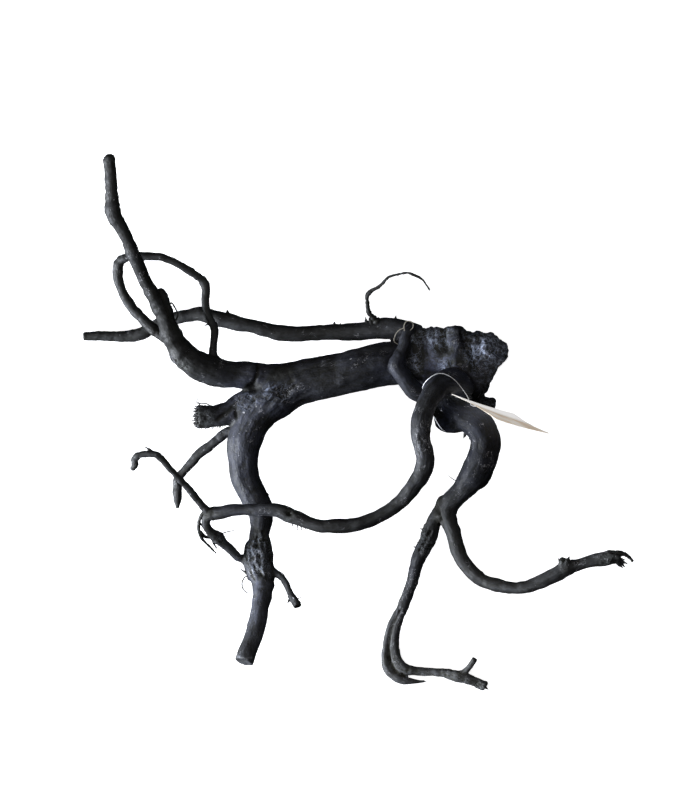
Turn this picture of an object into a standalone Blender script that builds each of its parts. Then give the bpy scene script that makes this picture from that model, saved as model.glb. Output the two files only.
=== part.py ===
"""A dry, dark root of driftwood, lying as it rests on a table.

The wood is one grown body: a thick knot with a cut face, an arched trunk that
splits into a long horn and a leg, a thin hoop, and long winding roots. A blank
card tag hangs on it by a stiff clear loop.

The model is in metres with +Z up. The table is the plane z = 0, and the origin
is below the middle of the wood. Three low places are worn flat and carry it.
"""
import math
import random

import bpy
import bmesh
from mathutils import Matrix, Vector, noise

MM = 0.001

# Driving dimensions of the wood, in metres
REACH = 0.440            # from the thin left end to the torn right end
FLOOR_Z = 0.0            # the table that the wood lies on
RELIEF = 0.075           # height of the long ridges, as a share of the wood's radius
LUMPS = 0.07             # height of the broad lumps, as a share of the wood's radius
KNOT_LUMPS = 0.15        # the same on the gnarled knot
RIDGES_ROUND = 2.1       # how close the ridges stand round a limb
RIDGE_LENGTH = 7.7       # how far a ridge runs along a limb, in radii
LUMP_SIZE = 1.7          # size of a lump, in radii
RING_SPACING = 0.95      # distance between two rings of a limb, in radii
WELD = 0.01 * MM         # points closer than this are one point
FIBRE_RADIUS = 0.45 * MM
SPUR_TIP_RADIUS = 0.35   # in millimetres, as the routes are
BRISTLE_COUNT = 11
BRISTLE_LENGTH = 6 * MM
SEED = 17

# Driving dimensions of the tag and its loop, in metres
TAG_LENGTH = 0.068
TAG_WIDTH = 0.052
TAG_THICKNESS = 0.0006
TAG_CORNER_RADIUS = 0.002
TAG_HOLE_RADIUS = 0.0018
TAG_HOLE_PLACE = (0.0140, 0.0085)    # from the tag's corner, along and up
TAG_CORNER = Vector((73.5, 23.0, 60.0)) * MM
TAG_ALONG = Vector((53.0, -16.5, -40.0)).normalized()
TAG_UP = Vector((27.5, -15.0, 42.0)).normalized()
LOOP_RADIUS = 0.00045

# Each limb is the middle line of the wood: x, y, z and radius, in millimetres.
# The limbs run from the thick end to the thin one, and start inside what they grow from.
TRUNK_AND_LEG = [
    (104, 41, 30, 11), (90, 45, 27, 20), (74, 48, 24.2, 25.2), (56, 49.5, 25, 22), (42, 49, 28, 18),
    (29.5, 48.5, 31, 16.8), (13.5, 46, 33.5, 16.2), (-6.5, 41.5, 36, 16.2), (-26.5, 37.5, 37, 16.5),
    (-46.5, 31.5, 37, 17.2), (-62.5, 23, 36, 17.2), (-76, 10.5, 35, 15.6), (-86, -3, 34, 14.4),
    (-91, -14.5, 33, 13.3), (-92, -25.5, 32, 12.2), (-91.5, -37, 31, 11.4), (-89, -46.5, 30, 11),
    (-85, -55, 30, 10.7), (-81, -64, 30.5, 10.1), (-77.5, -73, 31, 9.1), (-78, -85, 31, 7.7),
    (-79.5, -90, 31, 7.2), (-79.5, -95, 31, 8.6), (-79.5, -102.5, 31, 10.4), (-79, -110, 32, 11.2),
    (-78, -117.5, 33.5, 10.8), (-76.5, -125.5, 36, 9), (-76, -133.5, 38.5, 7.6), (-77, -141.5, 41, 6.9),
    (-78.5, -149.5, 43.5, 6.6), (-81.5, -165.5, 48.5, 6.3), (-84.5, -173.5, 51, 6.3),
    (-87.5, -181.5, 54, 6.6), (-90, -188.5, 57, 7),
]
HORN = [
    (-46.5, 33.5, 36, 12), (-58.5, 36, 36, 11.6), (-72, 37.5, 37, 10.4), (-86.5, 38.5, 39, 10),
    (-98.5, 39, 41, 9.4), (-110.5, 40.5, 43, 10.1), (-122.5, 44, 46, 10.4), (-134.5, 51, 50, 9.9),
    (-143.5, 61.5, 55, 8.6), (-150, 73.5, 60, 7.5), (-155.5, 86.5, 66, 6.3), (-162, 98.5, 71, 5.6),
    (-169, 110.5, 76, 5), (-174, 122, 81, 5.3), (-179.5, 134, 86, 5.5), (-184.5, 146, 91, 5),
    (-189.5, 155.5, 95, 5.4), (-194, 163.5, 98, 6.2), (-196, 170, 100, 6.5), (-196.5, 177.5, 101, 5.6),
    (-197, 185.5, 102, 5), (-197.5, 197.5, 102, 4.6), (-197.5, 207, 102, 4.5), (-197.5, 213, 102, 3.4),
]
HOOP = [
    (-153.5, 65, 52, 4), (-160, 70.5, 50, 4.2), (-168, 77.5, 47, 4), (-176, 86.5, 45, 3.8),
    (-182.5, 95, 44, 3.6), (-188.5, 105, 45, 3.4), (-191, 114.5, 47, 3.2), (-192, 124, 50, 3),
    (-189, 129.5, 53, 2.8), (-184, 132.5, 56, 2.5), (-178.5, 133.5, 59, 2.5), (-172, 133, 61, 2.6),
    (-158.5, 133, 62, 2.3), (-150.5, 131, 61, 2.6), (-144, 128.5, 60, 2.6), (-128, 118.5, 56, 2.7),
    (-122.5, 113.5, 54, 3), (-120.5, 106.5, 53, 3.1), (-121.5, 98.5, 52, 2.6), (-120.5, 90.5, 51, 2.6),
    (-118, 82.5, 50, 2.5), (-115, 76, 49, 2.8), (-114.5, 70.5, 48, 2.6), (-116, 57, 45, 2.4),
    (-113, 49, 43, 2.6),
]
REAR_ROOT = [
    (48, 70, 30, 8.8), (35, 75.4, 28, 8.2), (21.5, 76, 25, 8.2), (5.5, 74, 23, 7), (-10.5, 72.5, 21, 6.1),
    (-26.5, 72, 19, 5.7), (-46.5, 71, 17, 5.8), (-59, 71, 16, 6.4), (-70.5, 73, 16, 5.6),
    (-82.5, 76.5, 16, 5.4), (-94.5, 79, 16, 5.6), (-104, 82, 15, 6), (-114.5, 84, 14, 5.9),
    (-126.5, 87, 13, 5.2), (-134.5, 85.5, 12, 4.6), (-149, 83.5, 10, 4.5), (-158.5, 80, 8.5, 4.4),
    (-166.5, 75.5, 6, 4.6), (-174.5, 71, 4.2, 5.2), (-181, 70, 3.9, 4.7), (-190.5, 69.5, 3.9, 3.8),
    (-206.5, 70, 4.2, 3.3), (-219, 69.5, 4.6, 3),
]
FRONT_ROOT = [
    (88, 25, 38, 8.8), (81.5, 31, 46, 9.6), (73.5, 33.5, 56, 10), (65.5, 30.5, 66, 9.4),
    (59, 22.5, 75, 8.3), (53.5, 12, 81, 7.9), (50.5, 0, 84, 8), (51, -12, 85, 6.6),
    (53, -22.5, 84, 6.8), (54, -31, 83, 7), (51, -41, 81, 6.6), (45.5, -49.5, 79, 6.2),
    (39, -58, 77, 5.6), (29.5, -66, 75, 5.1), (17.5, -73.5, 73, 4.8), (5.5, -79, 72, 5),
    (-9, -82.5, 71, 5.2), (-22.5, -82.5, 70, 5.4), (-32, -82.5, 69, 4.9), (-40, -80, 68, 4.9),
    (-48, -76.5, 67, 5.1), (-56, -73, 66, 5.2), (-64, -70, 65, 5.1), (-72, -69, 64, 4.8),
    (-82.5, -69.5, 63, 4.5), (-93, -69.5, 61, 4.2), (-102.5, -70, 59, 4.6), (-110.5, -72, 57, 5),
    (-116, -72.5, 55, 5), (-120, -74.5, 53, 4.2), (-121.5, -78.5, 51, 3.2), (-121, -82.5, 49, 3),
    (-118.5, -86.5, 46, 3.1), (-115, -90, 43, 3.7), (-111, -93, 40, 3.3), (-106.5, -97.5, 38, 3.3),
    (-99, -105.5, 34, 2.6), (-94.5, -108.5, 33, 2.6), (-87, -110.5, 32, 2.8),
]
TORN_STUB = [
    (-77, 16, 34, 12), (-90.5, 13, 34, 10.8), (-101, 9.5, 34, 9.4), (-110.5, 7, 35, 8.6),
    (-119, 5.5, 36, 8), (-129, 5, 37, 7.8),
]
LOW_ROOT = [
    (-94.5, -4, 25, 4.8), (-105.5, -8.5, 22, 3.9), (-118.5, -18.5, 19, 3.4), (-126.5, -25, 17, 3.5),
    (-134.5, -33.5, 15, 3.2), (-141, -40, 13, 2.9), (-143.5, -45, 12, 3), (-144, -55, 11, 2.6),
    (-143.5, -61, 10.5, 1.9), (-144, -66, 10, 1.2),
]
CURLED_ROOT = [
    (-117, -73, 56, 3.6), (-121.5, -68.5, 57, 2.9), (-126.5, -62.5, 60, 2.6), (-134.5, -53, 66, 2.4),
    (-142.5, -44.5, 72, 2.3), (-149, -38, 76, 2.3), (-154.5, -32, 79, 2.4), (-159, -27, 81, 2.3),
    (-162.5, -25, 82, 2.1), (-172, -25.5, 81, 1.7), (-176, -27, 80, 1.9), (-178, -29.5, 78, 1.8),
    (-177.5, -32.5, 77, 1.8), (-179, -35, 76, 1),
]
THIGH_AND_ARM = [
    (65.5, 21.5, 26, 11.2), (73.5, 12, 33, 12.4), (84, 7, 38, 12), (94.5, -0.5, 42, 12),
    (101, -10.5, 43, 11.8), (102, -20, 42, 11.7), (99, -31, 40, 11.7), (93.5, -41.5, 37, 11.5),
    (85.5, -51, 33, 10), (77.5, -58.5, 30, 9), (72.5, -65.5, 28, 8.2), (71, -73, 28, 7.4),
    (73, -79, 29, 6.6), (77, -89.5, 31, 5.6), (80, -101, 34, 5.4), (85, -111, 37, 5.2),
    (92, -120, 40, 5.4), (101.5, -126.5, 43, 5), (113.5, -130, 46, 4.8), (125.5, -132, 48, 4.4),
    (137.5, -130.5, 50, 4.8), (149.5, -125.5, 52, 5.4), (159, -121, 54, 5.4), (166.5, -117, 55, 5),
    (175, -114, 56, 3.9), (185.5, -111, 57, 4.2), (196, -109, 58, 4.6), (204, -107.5, 58.5, 4.5),
    (209.5, -108, 59, 3.8),
]
SHIN_AND_FOOT = [
    (73.5, -62.5, 25, 7.2), (66.5, -70.5, 22.5, 6), (60.5, -78.5, 21, 5.6), (58, -86.5, 20, 6.1),
    (55.5, -94.5, 19, 5.5), (51, -102, 18, 5.5), (48, -109.5, 17, 5), (44, -125.5, 14.5, 4.1),
    (41.5, -133.5, 13, 3.8), (35, -149.5, 11, 3.6), (32.5, -157.5, 9.5, 3.4), (30, -166.5, 8, 3.7),
    (29, -176, 6.2, 4), (29, -185, 4.6, 4.4), (32, -192.5, 3.6, 4.4), (37.5, -197, 3.3, 4.2),
    (45.5, -198.5, 3.1, 4), (57.5, -200, 3, 3.8), (69.5, -200.5, 3.2, 4.1), (79, -203, 4, 4.6),
    (86.5, -204.5, 4.2, 4.2), (94.5, -207, 3.9, 3.4), (101.5, -210.5, 3.8, 3.5),
]
FOOT_STRIP = [
    (34.5, -146.5, 12, 1.8), (29.5, -153, 11.5, 1.8), (25.5, -161, 11, 1.7), (23, -169.5, 10, 1.6),
    (21.5, -179, 9, 1.8), (21.5, -188, 7.5, 2), (23.5, -196, 5.5, 2.4), (29, -202, 4, 2.8),
    (36, -205.5, 3.2, 3), (43, -207, 2.8, 2.1), (49.5, -208, 2.4, 1.1), (56.5, -207, 2.6, 0.6),
]
TOE = [(81.5, -201.5, 5, 2.4), (86.5, -198.5, 6.5, 2), (89.5, -195, 8, 1.8), (93.5, -189.5, 10.5, 1.8)]
SIDE_ROOT = [
    (-74, -116, 35, 4.5), (-66.5, -120, 38, 2.4), (-61.5, -123, 40, 2.4), (-57.5, -128.5, 42, 2.2),
    (-55, -134.5, 44, 2.1), (-52, -139.5, 45.5, 2.6), (-48.5, -145, 47, 2.2),
]
TOP_TWIG = [
    (14.5, 80, 28, 2.6), (9, 86, 31, 1.8), (8, 91, 33, 1.4), (7.5, 97.5, 35, 1.3), (7.5, 101.5, 36, 1.6),
    (10.5, 105.5, 38, 1.3), (15, 108, 40, 1), (19, 111, 42, 1), (22.5, 115, 44, 1), (26.5, 117.5, 45, 0.9),
    (38.5, 120, 48, 0.8), (44, 118.5, 49, 1), (51, 115, 50, 0.7), (54.5, 110.5, 50, 0.6),
    (57.5, 106, 50, 0.5),
]
HORN_KNOB = [(-152, 82.5, 65, 4.8), (-154, 93.5, 68, 4.4), (-156, 101.5, 70, 3.6), (-158.5, 106.5, 71, 2.4)]
ARM_KNOB = [(165.5, -118, 55, 4), (165, -113, 57, 3.8), (165, -108.5, 58, 3.4)]
STRAP_ROOT = [
    (43, 77.5, 38, 3.6), (39, 71, 44, 3.7), (37, 62.5, 48, 4.2), (33, 53.5, 50, 4.8), (30.5, 47, 51, 5.6),
    (33.5, 38.5, 50, 6.4), (39.5, 30, 47, 6.6), (45.5, 24, 43, 6.8), (55, 21.5, 38, 6.4),
]
# The lobes of the gnarled knot. The last point of each is the middle of a cut or broken face.
KNOT_LOBES = {
    "right": [(88, 36, 20, 14.4), (97.5, 47, 27, 15.4), (104, 56, 33, 15), (108.5, 62, 37.5, 14)],
    "shoulder": [(92, 47, 33, 12), (93, 59, 36, 11.5), (92, 72.5, 37, 8.5)],
    "upper": [(77.5, 47, 36, 11.5), (77, 61.5, 41, 9.6), (76.5, 77, 43, 8.4)],
    "left": [(64, 49, 34, 12.6), (62.5, 61.5, 37, 11.2), (61.5, 75.5, 38, 8.2)],
    "back": [(48, 60, 30, 11), (51, 68, 31, 9), (52, 73.5, 31, 6.4)],
    "below": [(61, 29.5, 27, 10.8), (76, 25.5, 28, 12.8), (93, 28, 28, 11.5), (101, 33, 28, 9)],
    "flank": [(84, 40, 27, 19), (97, 40, 27, 14.5), (102.5, 37, 27, 11)],
    "heel": [(83, 9, 36, 10), (77.5, 4.5, 34.5, 11.6), (70, 3.8, 34.5, 9.8), (63.5, 5.5, 35, 7)],
}
LOWER_STUB = [(89.5, 23, 26, 6.4), (101, 17.5, 27, 4.8), (108, 15.5, 27, 4.2)]
# Fine rootlets and fibres, at least 0.6 mm thick
ROOTLETS = [
    [(-119, -71, 55, 1.4), (-124, -72.5, 54, 0.9), (-127, -77.5, 52, 0.7), (-127, -84, 49, 0.7),
     (-125.5, -90.5, 46, 0.6), (-122.5, -94.5, 43, 0.6), (-118.5, -98.5, 40, 0.5), (-113.5, -104, 36, 0.4)],
    [(-126, -86.5, 48, 0.6), (-123, -90.5, 44, 0.5), (-119, -91, 43, 0.5), (-114, -91.5, 42.5, 0.5)],
    [(-118, -93, 42, 0.6), (-115.5, -99.5, 38, 0.4)],
    [(-151, 92, 68, 0.6), (-149, 96, 69, FIBRE_RADIUS / MM), (-145.5, 91, 68, FIBRE_RADIUS / MM),
     (-144, 85.5, 66, FIBRE_RADIUS / MM), (-148, 79, 62, FIBRE_RADIUS / MM)],
    [(38, 71, 44, 0.7), (36.5, 78, 46, 0.6), (39, 82, 47, 0.5), (43, 81.5, 47, 0.5), (43.5, 77, 44, 0.5)],
    [(36.5, 77, 45.5, 0.6), (33, 74.5, 45, 0.5), (29.5, 70, 41, 0.5), (29, 66, 36, 0.5), (32, 60, 33, 0.5)],
]
# Short broken spurs: root, tip and root radius, in millimetres
SPURS = [
    ((-104, 84, 16), (-105, 90.5, 18), 2.4),      # thorn on the rear root
    ((30, 77, 26), (30.5, 86.5, 28), 3.4),        # thorn beside the knot
    ((-18.5, 76, 21), (-18.5, 80.5, 22), 2),
    ((8, 78, 26), (6, 85, 27), 1.6),
    ((87, -7, 38), (84.5, -14.5, 37), 2.2),
    ((-73.5, -57, 33), (-71.5, -57.5, 40), 1.4),
    ((57, -86, 20), (49.5, -84.5, 20), 1.8),      # torn bark on the shin
    ((54, -94, 19), (48, -95.5, 19), 1.6),
    ((50, -102, 18), (44.5, -98.5, 18), 1.6),
    ((-116.5, 80, 50), (-122, 77.5, 49), 1.1),
    ((-84, -121.5, 34), (-93, -117.5, 35), 1.2),
    ((-54, -140, 45.5), (-56, -144, 46), 1),
    ((202, -106, 58.5), (208.5, -102.5, 60), 1.6),
    ((206, -106, 59), (219.5, -110.5, 60), 1.5),
    ((205, -109, 58), (213.5, -115, 57), 1.4),
    ((-161, -26, 81.5), (-167, -20, 81), 1.2),
    ((84, -203, 5), (88.5, -196, 4), 1.6),
    ((24, 50, 45), (21, 52.5, 48), 2.6),          # elbow of the strap root
]
LOOP_ROUTE = [
    (52, 25.5, 66.5), (52.1, 30.2, 71.5), (55.7, 34.8, 76), (61, 38.5, 77.5), (66, 39.6, 77),
    (71.5, 38.2, 75), (77.5, 34, 71), (83, 27.6, 66), (87, 21.8, 62), (89.3, 16.9, 59.4),
    (90.8, 14, 55), (94.8, 13.3, 48.5), (97.8, 13.6, 42), (96.6, 12.3, 33.5), (90.5, 7.5, 25),
    (83, 1.5, 20.5), (76, -5, 23), (72, -7.3, 29), (70.4, -7.3, 35.5), (65.5, -3, 45), (60.5, 5.5, 50),
    (56, 14.5, 58),
]

random.seed(SEED)


def clear_scene():
    """Remove the objects that a new file starts with."""
    for found in list(bpy.data.objects):
        bpy.data.objects.remove(found, do_unlink=True)


def new_collection(name):
    made = bpy.data.collections.new(name)
    bpy.context.scene.collection.children.link(made)
    return made


def material(name, colour, roughness, transmission=0.0):
    """A Principled material with one colour."""
    made = bpy.data.materials.new(name)
    made.use_nodes = True
    shader = made.node_tree.nodes["Principled BSDF"]
    shader.inputs["Base Color"].default_value = (*colour, 1.0)
    shader.inputs["Roughness"].default_value = roughness
    shader.inputs["Metallic"].default_value = 0.0
    shader.inputs["Transmission Weight"].default_value = transmission
    made.diffuse_color = (*colour, 1.0)
    return made


def between(route, position):
    """The point of a smooth curve through the route, where 2.5 is half way from point 2 to 3."""
    last = len(route) - 1
    start = min(int(position), last - 1)
    t = position - start
    before, here, there, after = (Vector(route[max(0, min(last, start + step))]) for step in (-1, 0, 1, 2))
    return 0.5 * (2 * here + (there - before) * t
                  + (2 * before - 5 * here + 4 * there - after) * t * t
                  + (3 * here - before - 3 * there + after) * t * t * t)


def samples(route, spacing):
    """Points along the route, as far apart as spacing times the radius there."""
    probe = 0.05
    last = len(route) - 1
    found = [between(route, 0.0)]
    position = 0.0
    while True:
        here = between(route, position)
        ahead = between(route, min(position + probe, last))
        step = spacing * max(here.w, 1.0) * probe / (ahead.xyz - here.xyz).length
        position += step
        if position > last - step / 3:
            break
        found.append(between(route, position))
    found.append(between(route, float(last)))
    return found


def tube(name, points, bevel_resolution, home, cyclic=False):
    """A closed tube mesh through points of x, y, z, radius in millimetres.

    The tube has as much wood in each section as a round one of that radius.
    """
    sides = 4 + 2 * bevel_resolution
    swell = math.sqrt(math.tau / (sides * math.sin(math.tau / sides)))
    curve = bpy.data.curves.new(name, "CURVE")
    curve.dimensions = "3D"
    curve.bevel_depth = MM
    curve.bevel_resolution = bevel_resolution
    curve.use_fill_caps = not cyclic
    spline = curve.splines.new("POLY")
    spline.points.add(len(points) - 1)
    spline.use_cyclic_u = cyclic
    for place, point in zip(spline.points, points):
        place.co = (*(point.xyz * MM), 1.0)
        place.radius = point.w * swell
    drawn = bpy.data.objects.new(name + "_line", curve)
    home.objects.link(drawn)
    graph = bpy.context.evaluated_depsgraph_get()
    mesh = bpy.data.meshes.new_from_object(drawn.evaluated_get(graph))
    mesh.name = name
    made = bpy.data.objects.new(name, mesh)
    made.matrix_world = drawn.matrix_world
    home.objects.link(made)
    bpy.data.objects.remove(drawn, do_unlink=True)
    tidy = bmesh.new()
    tidy.from_mesh(mesh)
    bmesh.ops.remove_doubles(tidy, verts=tidy.verts, dist=WELD)
    bmesh.ops.triangulate(tidy, faces=tidy.faces)
    tidy.to_mesh(mesh)
    tidy.free()
    return made


def weather(piece, points, lumps):
    """Raise long ridges and broad lumps on a limb, as shares of its radius there."""
    offset = Vector((random.uniform(-50, 50) for _ in range(3)))
    travelled = [0.0]
    for here, there in zip(points, points[1:]):
        travelled.append(travelled[-1] + (there.xyz - here.xyz).length / max(here.w, 1.0))
    centres = [point.xyz * MM for point in points]
    for vertex in piece.data.vertices:
        nearest = min(range(len(points)), key=lambda i: (vertex.co - centres[i]).length_squared)
        radius = points[nearest].w * MM
        around = (vertex.co - centres[nearest]) / radius
        along = Vector((0, 0, travelled[nearest] / RIDGE_LENGTH))
        ridge = noise.noise(around * RIDGES_ROUND + offset + along)
        lump = noise.noise(vertex.co / max(radius * LUMP_SIZE, 3 * MM) + offset)
        vertex.co += around * radius * (RELIEF * ridge + lumps * lump)


def limb(name, route, bevel_resolution, home, spacing=RING_SPACING, lumps=LUMPS):
    """A weathered length of wood along a route."""
    points = samples(route, spacing)
    made = tube(name, points, bevel_resolution, home)
    weather(made, points, lumps)
    return made


def spur(name, root, tip, radius, home):
    """A short broken point of wood."""
    start = Vector((*root, radius))
    end = Vector((*tip, SPUR_TIP_RADIUS))
    middle = start.lerp(end, 0.5)
    return tube(name, [start, middle, end], 0, home)


def bristles(home):
    """The splintered fibres that stand out of the torn stub's end."""
    end, before = Vector(TORN_STUB[-1]), Vector(TORN_STUB[-2])
    outward = (end.xyz - before.xyz).normalized()
    side = outward.cross(Vector((0, 0, 1))).normalized()
    up = side.cross(outward)
    for index in range(BRISTLE_COUNT):
        turn = index * math.tau / BRISTLE_COUNT + random.uniform(-0.2, 0.2)
        out = end.w * random.uniform(0.35, 0.8)
        root = end.xyz + (side * math.cos(turn) + up * math.sin(turn)) * out
        reach = BRISTLE_LENGTH / MM * random.uniform(0.45, 1.0)
        lean = side * random.uniform(-0.35, 0.35) + up * random.uniform(-0.35, 0.35)
        tip = root + (outward + lean) * reach
        spur(f"bristle_{index}", root - outward * 2.5, tip, 0.9, home)


def union(base, others):
    """Join every object of a collection to the base, as one body."""
    join = base.modifiers.new("grown together", "BOOLEAN")
    join.operation = "UNION"
    join.operand_type = "COLLECTION"
    join.collection = others
    join.solver = "MANIFOLD"
    apply_modifiers(base)
    for used in list(others.objects):
        bpy.data.objects.remove(used, do_unlink=True)


def apply_modifiers(piece):
    graph = bpy.context.evaluated_depsgraph_get()
    mesh = bpy.data.meshes.new_from_object(piece.evaluated_get(graph))
    piece.modifiers.clear()
    piece.data = mesh


def keep_largest_body(piece):
    """Drop the loose scraps that joining can leave."""
    work = bmesh.new()
    work.from_mesh(piece.data)
    unseen = set(work.verts)
    bodies = []
    while unseen:
        edge_of_search = [unseen.pop()]
        body = list(edge_of_search)
        while edge_of_search:
            vertex = edge_of_search.pop()
            for edge in vertex.link_edges:
                other = edge.other_vert(vertex)
                if other in unseen:
                    unseen.remove(other)
                    body.append(other)
                    edge_of_search.append(other)
        bodies.append(body)
    bodies.sort(key=len, reverse=True)
    bmesh.ops.delete(work, geom=[v for body in bodies[1:] for v in body], context="VERTS")
    bmesh.ops.triangulate(work, faces=work.faces)
    work.to_mesh(piece.data)
    work.free()


def wear_flat(piece, guides):
    """Cut the wood off at the table, which leaves its three small flat rests."""
    depth = 20 * MM
    bpy.ops.mesh.primitive_cube_add(size=1, location=(0, 0, FLOOR_Z - depth / 2))
    table = bpy.context.object
    table.name = "table_cut"
    table.scale = (REACH * 1.5, REACH * 1.5, depth)
    for other in list(table.users_collection):
        other.objects.unlink(table)
    guides.objects.link(table)
    bpy.context.view_layer.update()
    cut = piece.modifiers.new("rests", "BOOLEAN")
    cut.operation = "DIFFERENCE"
    cut.object = table
    cut.solver = "MANIFOLD"
    apply_modifiers(piece)
    table.hide_render = True
    table.display_type = "WIRE"


def make_root(home, guides, wood):
    """The whole root, joined into one body."""
    pieces = new_collection("root_limbs")
    base = limb("root", TRUNK_AND_LEG, 5, home, spacing=0.75)
    limb("horn", HORN, 3, pieces)
    limb("hoop", HOOP, 1, pieces, spacing=1.4)
    limb("rear_root", REAR_ROOT, 2, pieces, spacing=1.25)
    limb("front_root", FRONT_ROOT, 2, pieces, spacing=1.1)
    limb("torn_stub", TORN_STUB, 4, pieces, spacing=0.6, lumps=KNOT_LUMPS)
    limb("low_root", LOW_ROOT, 1, pieces, spacing=1.6)
    limb("curled_root", CURLED_ROOT, 1, pieces, spacing=1.9)
    limb("thigh_and_arm", THIGH_AND_ARM, 3, pieces)
    limb("shin_and_foot", SHIN_AND_FOOT, 2, pieces, spacing=1.2)
    limb("foot_strip", FOOT_STRIP, 1, pieces, spacing=2)
    limb("toe", TOE, 1, pieces, spacing=1.5)
    limb("side_root", SIDE_ROOT, 1, pieces, spacing=1.6)
    limb("top_twig", TOP_TWIG, 0, pieces, spacing=2.5)
    limb("horn_knob", HORN_KNOB, 2, pieces, spacing=0.8, lumps=KNOT_LUMPS)
    limb("arm_knob", ARM_KNOB, 2, pieces, spacing=0.8)
    limb("strap_root", STRAP_ROOT, 2, pieces, spacing=0.9)
    limb("lower_stub", LOWER_STUB, 3, pieces, spacing=0.8, lumps=KNOT_LUMPS)
    for name, route in KNOT_LOBES.items():
        limb("lobe_" + name, route, 4, pieces, spacing=0.5, lumps=KNOT_LUMPS)
    for index, route in enumerate(ROOTLETS):
        limb(f"rootlet_{index}", route, 0, pieces, spacing=3)
    for index, (start, tip, radius) in enumerate(SPURS):
        spur(f"spur_{index}", start, tip, radius, pieces)
    bristles(pieces)
    union(base, pieces)
    bpy.data.collections.remove(pieces)
    wear_flat(base, guides)
    keep_largest_body(base)
    base.data.materials.clear()
    base.data.materials.append(wood)
    base.data.shade_smooth()
    return base


def outline(curve, corners):
    """A closed flat outline."""
    spline = curve.splines.new("POLY")
    spline.points.add(len(corners) - 1)
    for place, (x, y) in zip(spline.points, corners):
        place.co = (x, y, 0.0, 1.0)
    spline.use_cyclic_u = True


def arc(centre, radius, start, turn, steps):
    """Points on a circle, from the start angle on through the turn."""
    return [
        (centre[0] + radius * math.cos(start + turn * step / steps),
         centre[1] + radius * math.sin(start + turn * step / steps))
        for step in range(steps + 1)
    ]


def make_tag(home, card):
    """The blank card: a rectangle with round corners and a hole for the loop."""
    curve = bpy.data.curves.new("hang_tag_outline", "CURVE")
    curve.dimensions = "2D"
    curve.fill_mode = "BOTH"
    curve.extrude = TAG_THICKNESS / 2
    r = TAG_CORNER_RADIUS
    corners = [(r, r), (TAG_LENGTH - r, r), (TAG_LENGTH - r, TAG_WIDTH - r), (r, TAG_WIDTH - r)]
    rounded = []
    for index, corner in enumerate(corners):
        rounded += arc(corner, r, math.pi + index * math.pi / 2, math.pi / 2, 4)
    outline(curve, rounded)
    outline(curve, arc(TAG_HOLE_PLACE, TAG_HOLE_RADIUS, 0, -math.tau, 12)[:-1])
    drawn = bpy.data.objects.new("hang_tag_outline", curve)
    home.objects.link(drawn)
    up = (TAG_UP - TAG_ALONG * TAG_UP.dot(TAG_ALONG)).normalized()
    facing = TAG_ALONG.cross(up)
    turned = Matrix((TAG_ALONG, up, facing)).transposed().to_4x4()
    turned.translation = TAG_CORNER
    graph = bpy.context.evaluated_depsgraph_get()
    mesh = bpy.data.meshes.new_from_object(drawn.evaluated_get(graph))
    bpy.data.objects.remove(drawn, do_unlink=True)
    tidy = bmesh.new()
    tidy.from_mesh(mesh)
    bmesh.ops.remove_doubles(tidy, verts=tidy.verts, dist=WELD)
    bmesh.ops.triangulate(tidy, faces=tidy.faces)
    bmesh.ops.recalc_face_normals(tidy, faces=tidy.faces)
    tidy.to_mesh(mesh)
    tidy.free()
    made = bpy.data.objects.new("hang_tag", mesh)
    made.matrix_world = turned
    home.objects.link(made)
    made.data.materials.append(card)
    return made


def make_loop(home, plastic):
    """The stiff clear loop that goes round the roots and through the tag's hole."""
    count = len(LOOP_ROUTE)
    wrapped = [(*LOOP_ROUTE[i % count], LOOP_RADIUS / MM) for i in range(-1, count + 2)]
    steps = 4
    points = [between(wrapped, 1 + step / steps) for step in range(count * steps)]
    made = tube("tag_loop", points, 1, home, cyclic=True)
    made.data.materials.append(plastic)
    made.data.shade_smooth()
    return made


def main():
    clear_scene()
    home = new_collection("dry root")
    guides = new_collection("cutters")
    wood = material("charred dark wood", (0.022, 0.025, 0.033), 0.62)
    card = material("blank card", (0.86, 0.84, 0.79), 0.7)
    plastic = material("clear plastic", (0.82, 0.84, 0.86), 0.25, transmission=0.5)
    make_root(home, guides, wood)
    make_tag(home, card)
    make_loop(home, plastic)


main()
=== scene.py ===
"""The looks of a dry, dark driftwood root with a blank card tag.

The wood is one skin. Round lengths of wood are carried along routes, joined into one mesh, and
every point of that mesh is then moved to the place where the lengths grow together smoothly, with
their ridges, lumps, torn bark and cracks. Finer rootlets and fibres are tubes of their own.
"""
import math

import bmesh
import bpy
import numpy as np
from bpy.props import FloatProperty, FloatVectorProperty, IntProperty, PointerProperty
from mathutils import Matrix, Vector


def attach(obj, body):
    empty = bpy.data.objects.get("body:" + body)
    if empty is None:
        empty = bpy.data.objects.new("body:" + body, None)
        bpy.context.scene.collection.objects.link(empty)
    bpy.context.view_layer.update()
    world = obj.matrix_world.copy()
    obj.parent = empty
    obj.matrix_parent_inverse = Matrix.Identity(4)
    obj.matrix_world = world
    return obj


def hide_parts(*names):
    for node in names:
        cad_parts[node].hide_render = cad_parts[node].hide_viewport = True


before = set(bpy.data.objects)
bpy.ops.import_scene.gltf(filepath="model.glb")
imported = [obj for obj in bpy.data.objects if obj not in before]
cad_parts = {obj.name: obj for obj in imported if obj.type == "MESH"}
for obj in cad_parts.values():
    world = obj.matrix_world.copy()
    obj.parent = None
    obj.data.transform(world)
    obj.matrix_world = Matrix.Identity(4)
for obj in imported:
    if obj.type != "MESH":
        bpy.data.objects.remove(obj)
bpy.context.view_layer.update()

bl_info = {
    "name": "Dry root",
    "version": (1, 0, 0),
    "blender": (4, 5, 0),
    "location": "3D View > Sidebar > Dry root",
    "description": "Builds a dry driftwood root with a blank card tag, its floor and its lights",
    "category": "Add Mesh",
}

MM = 0.001

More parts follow.
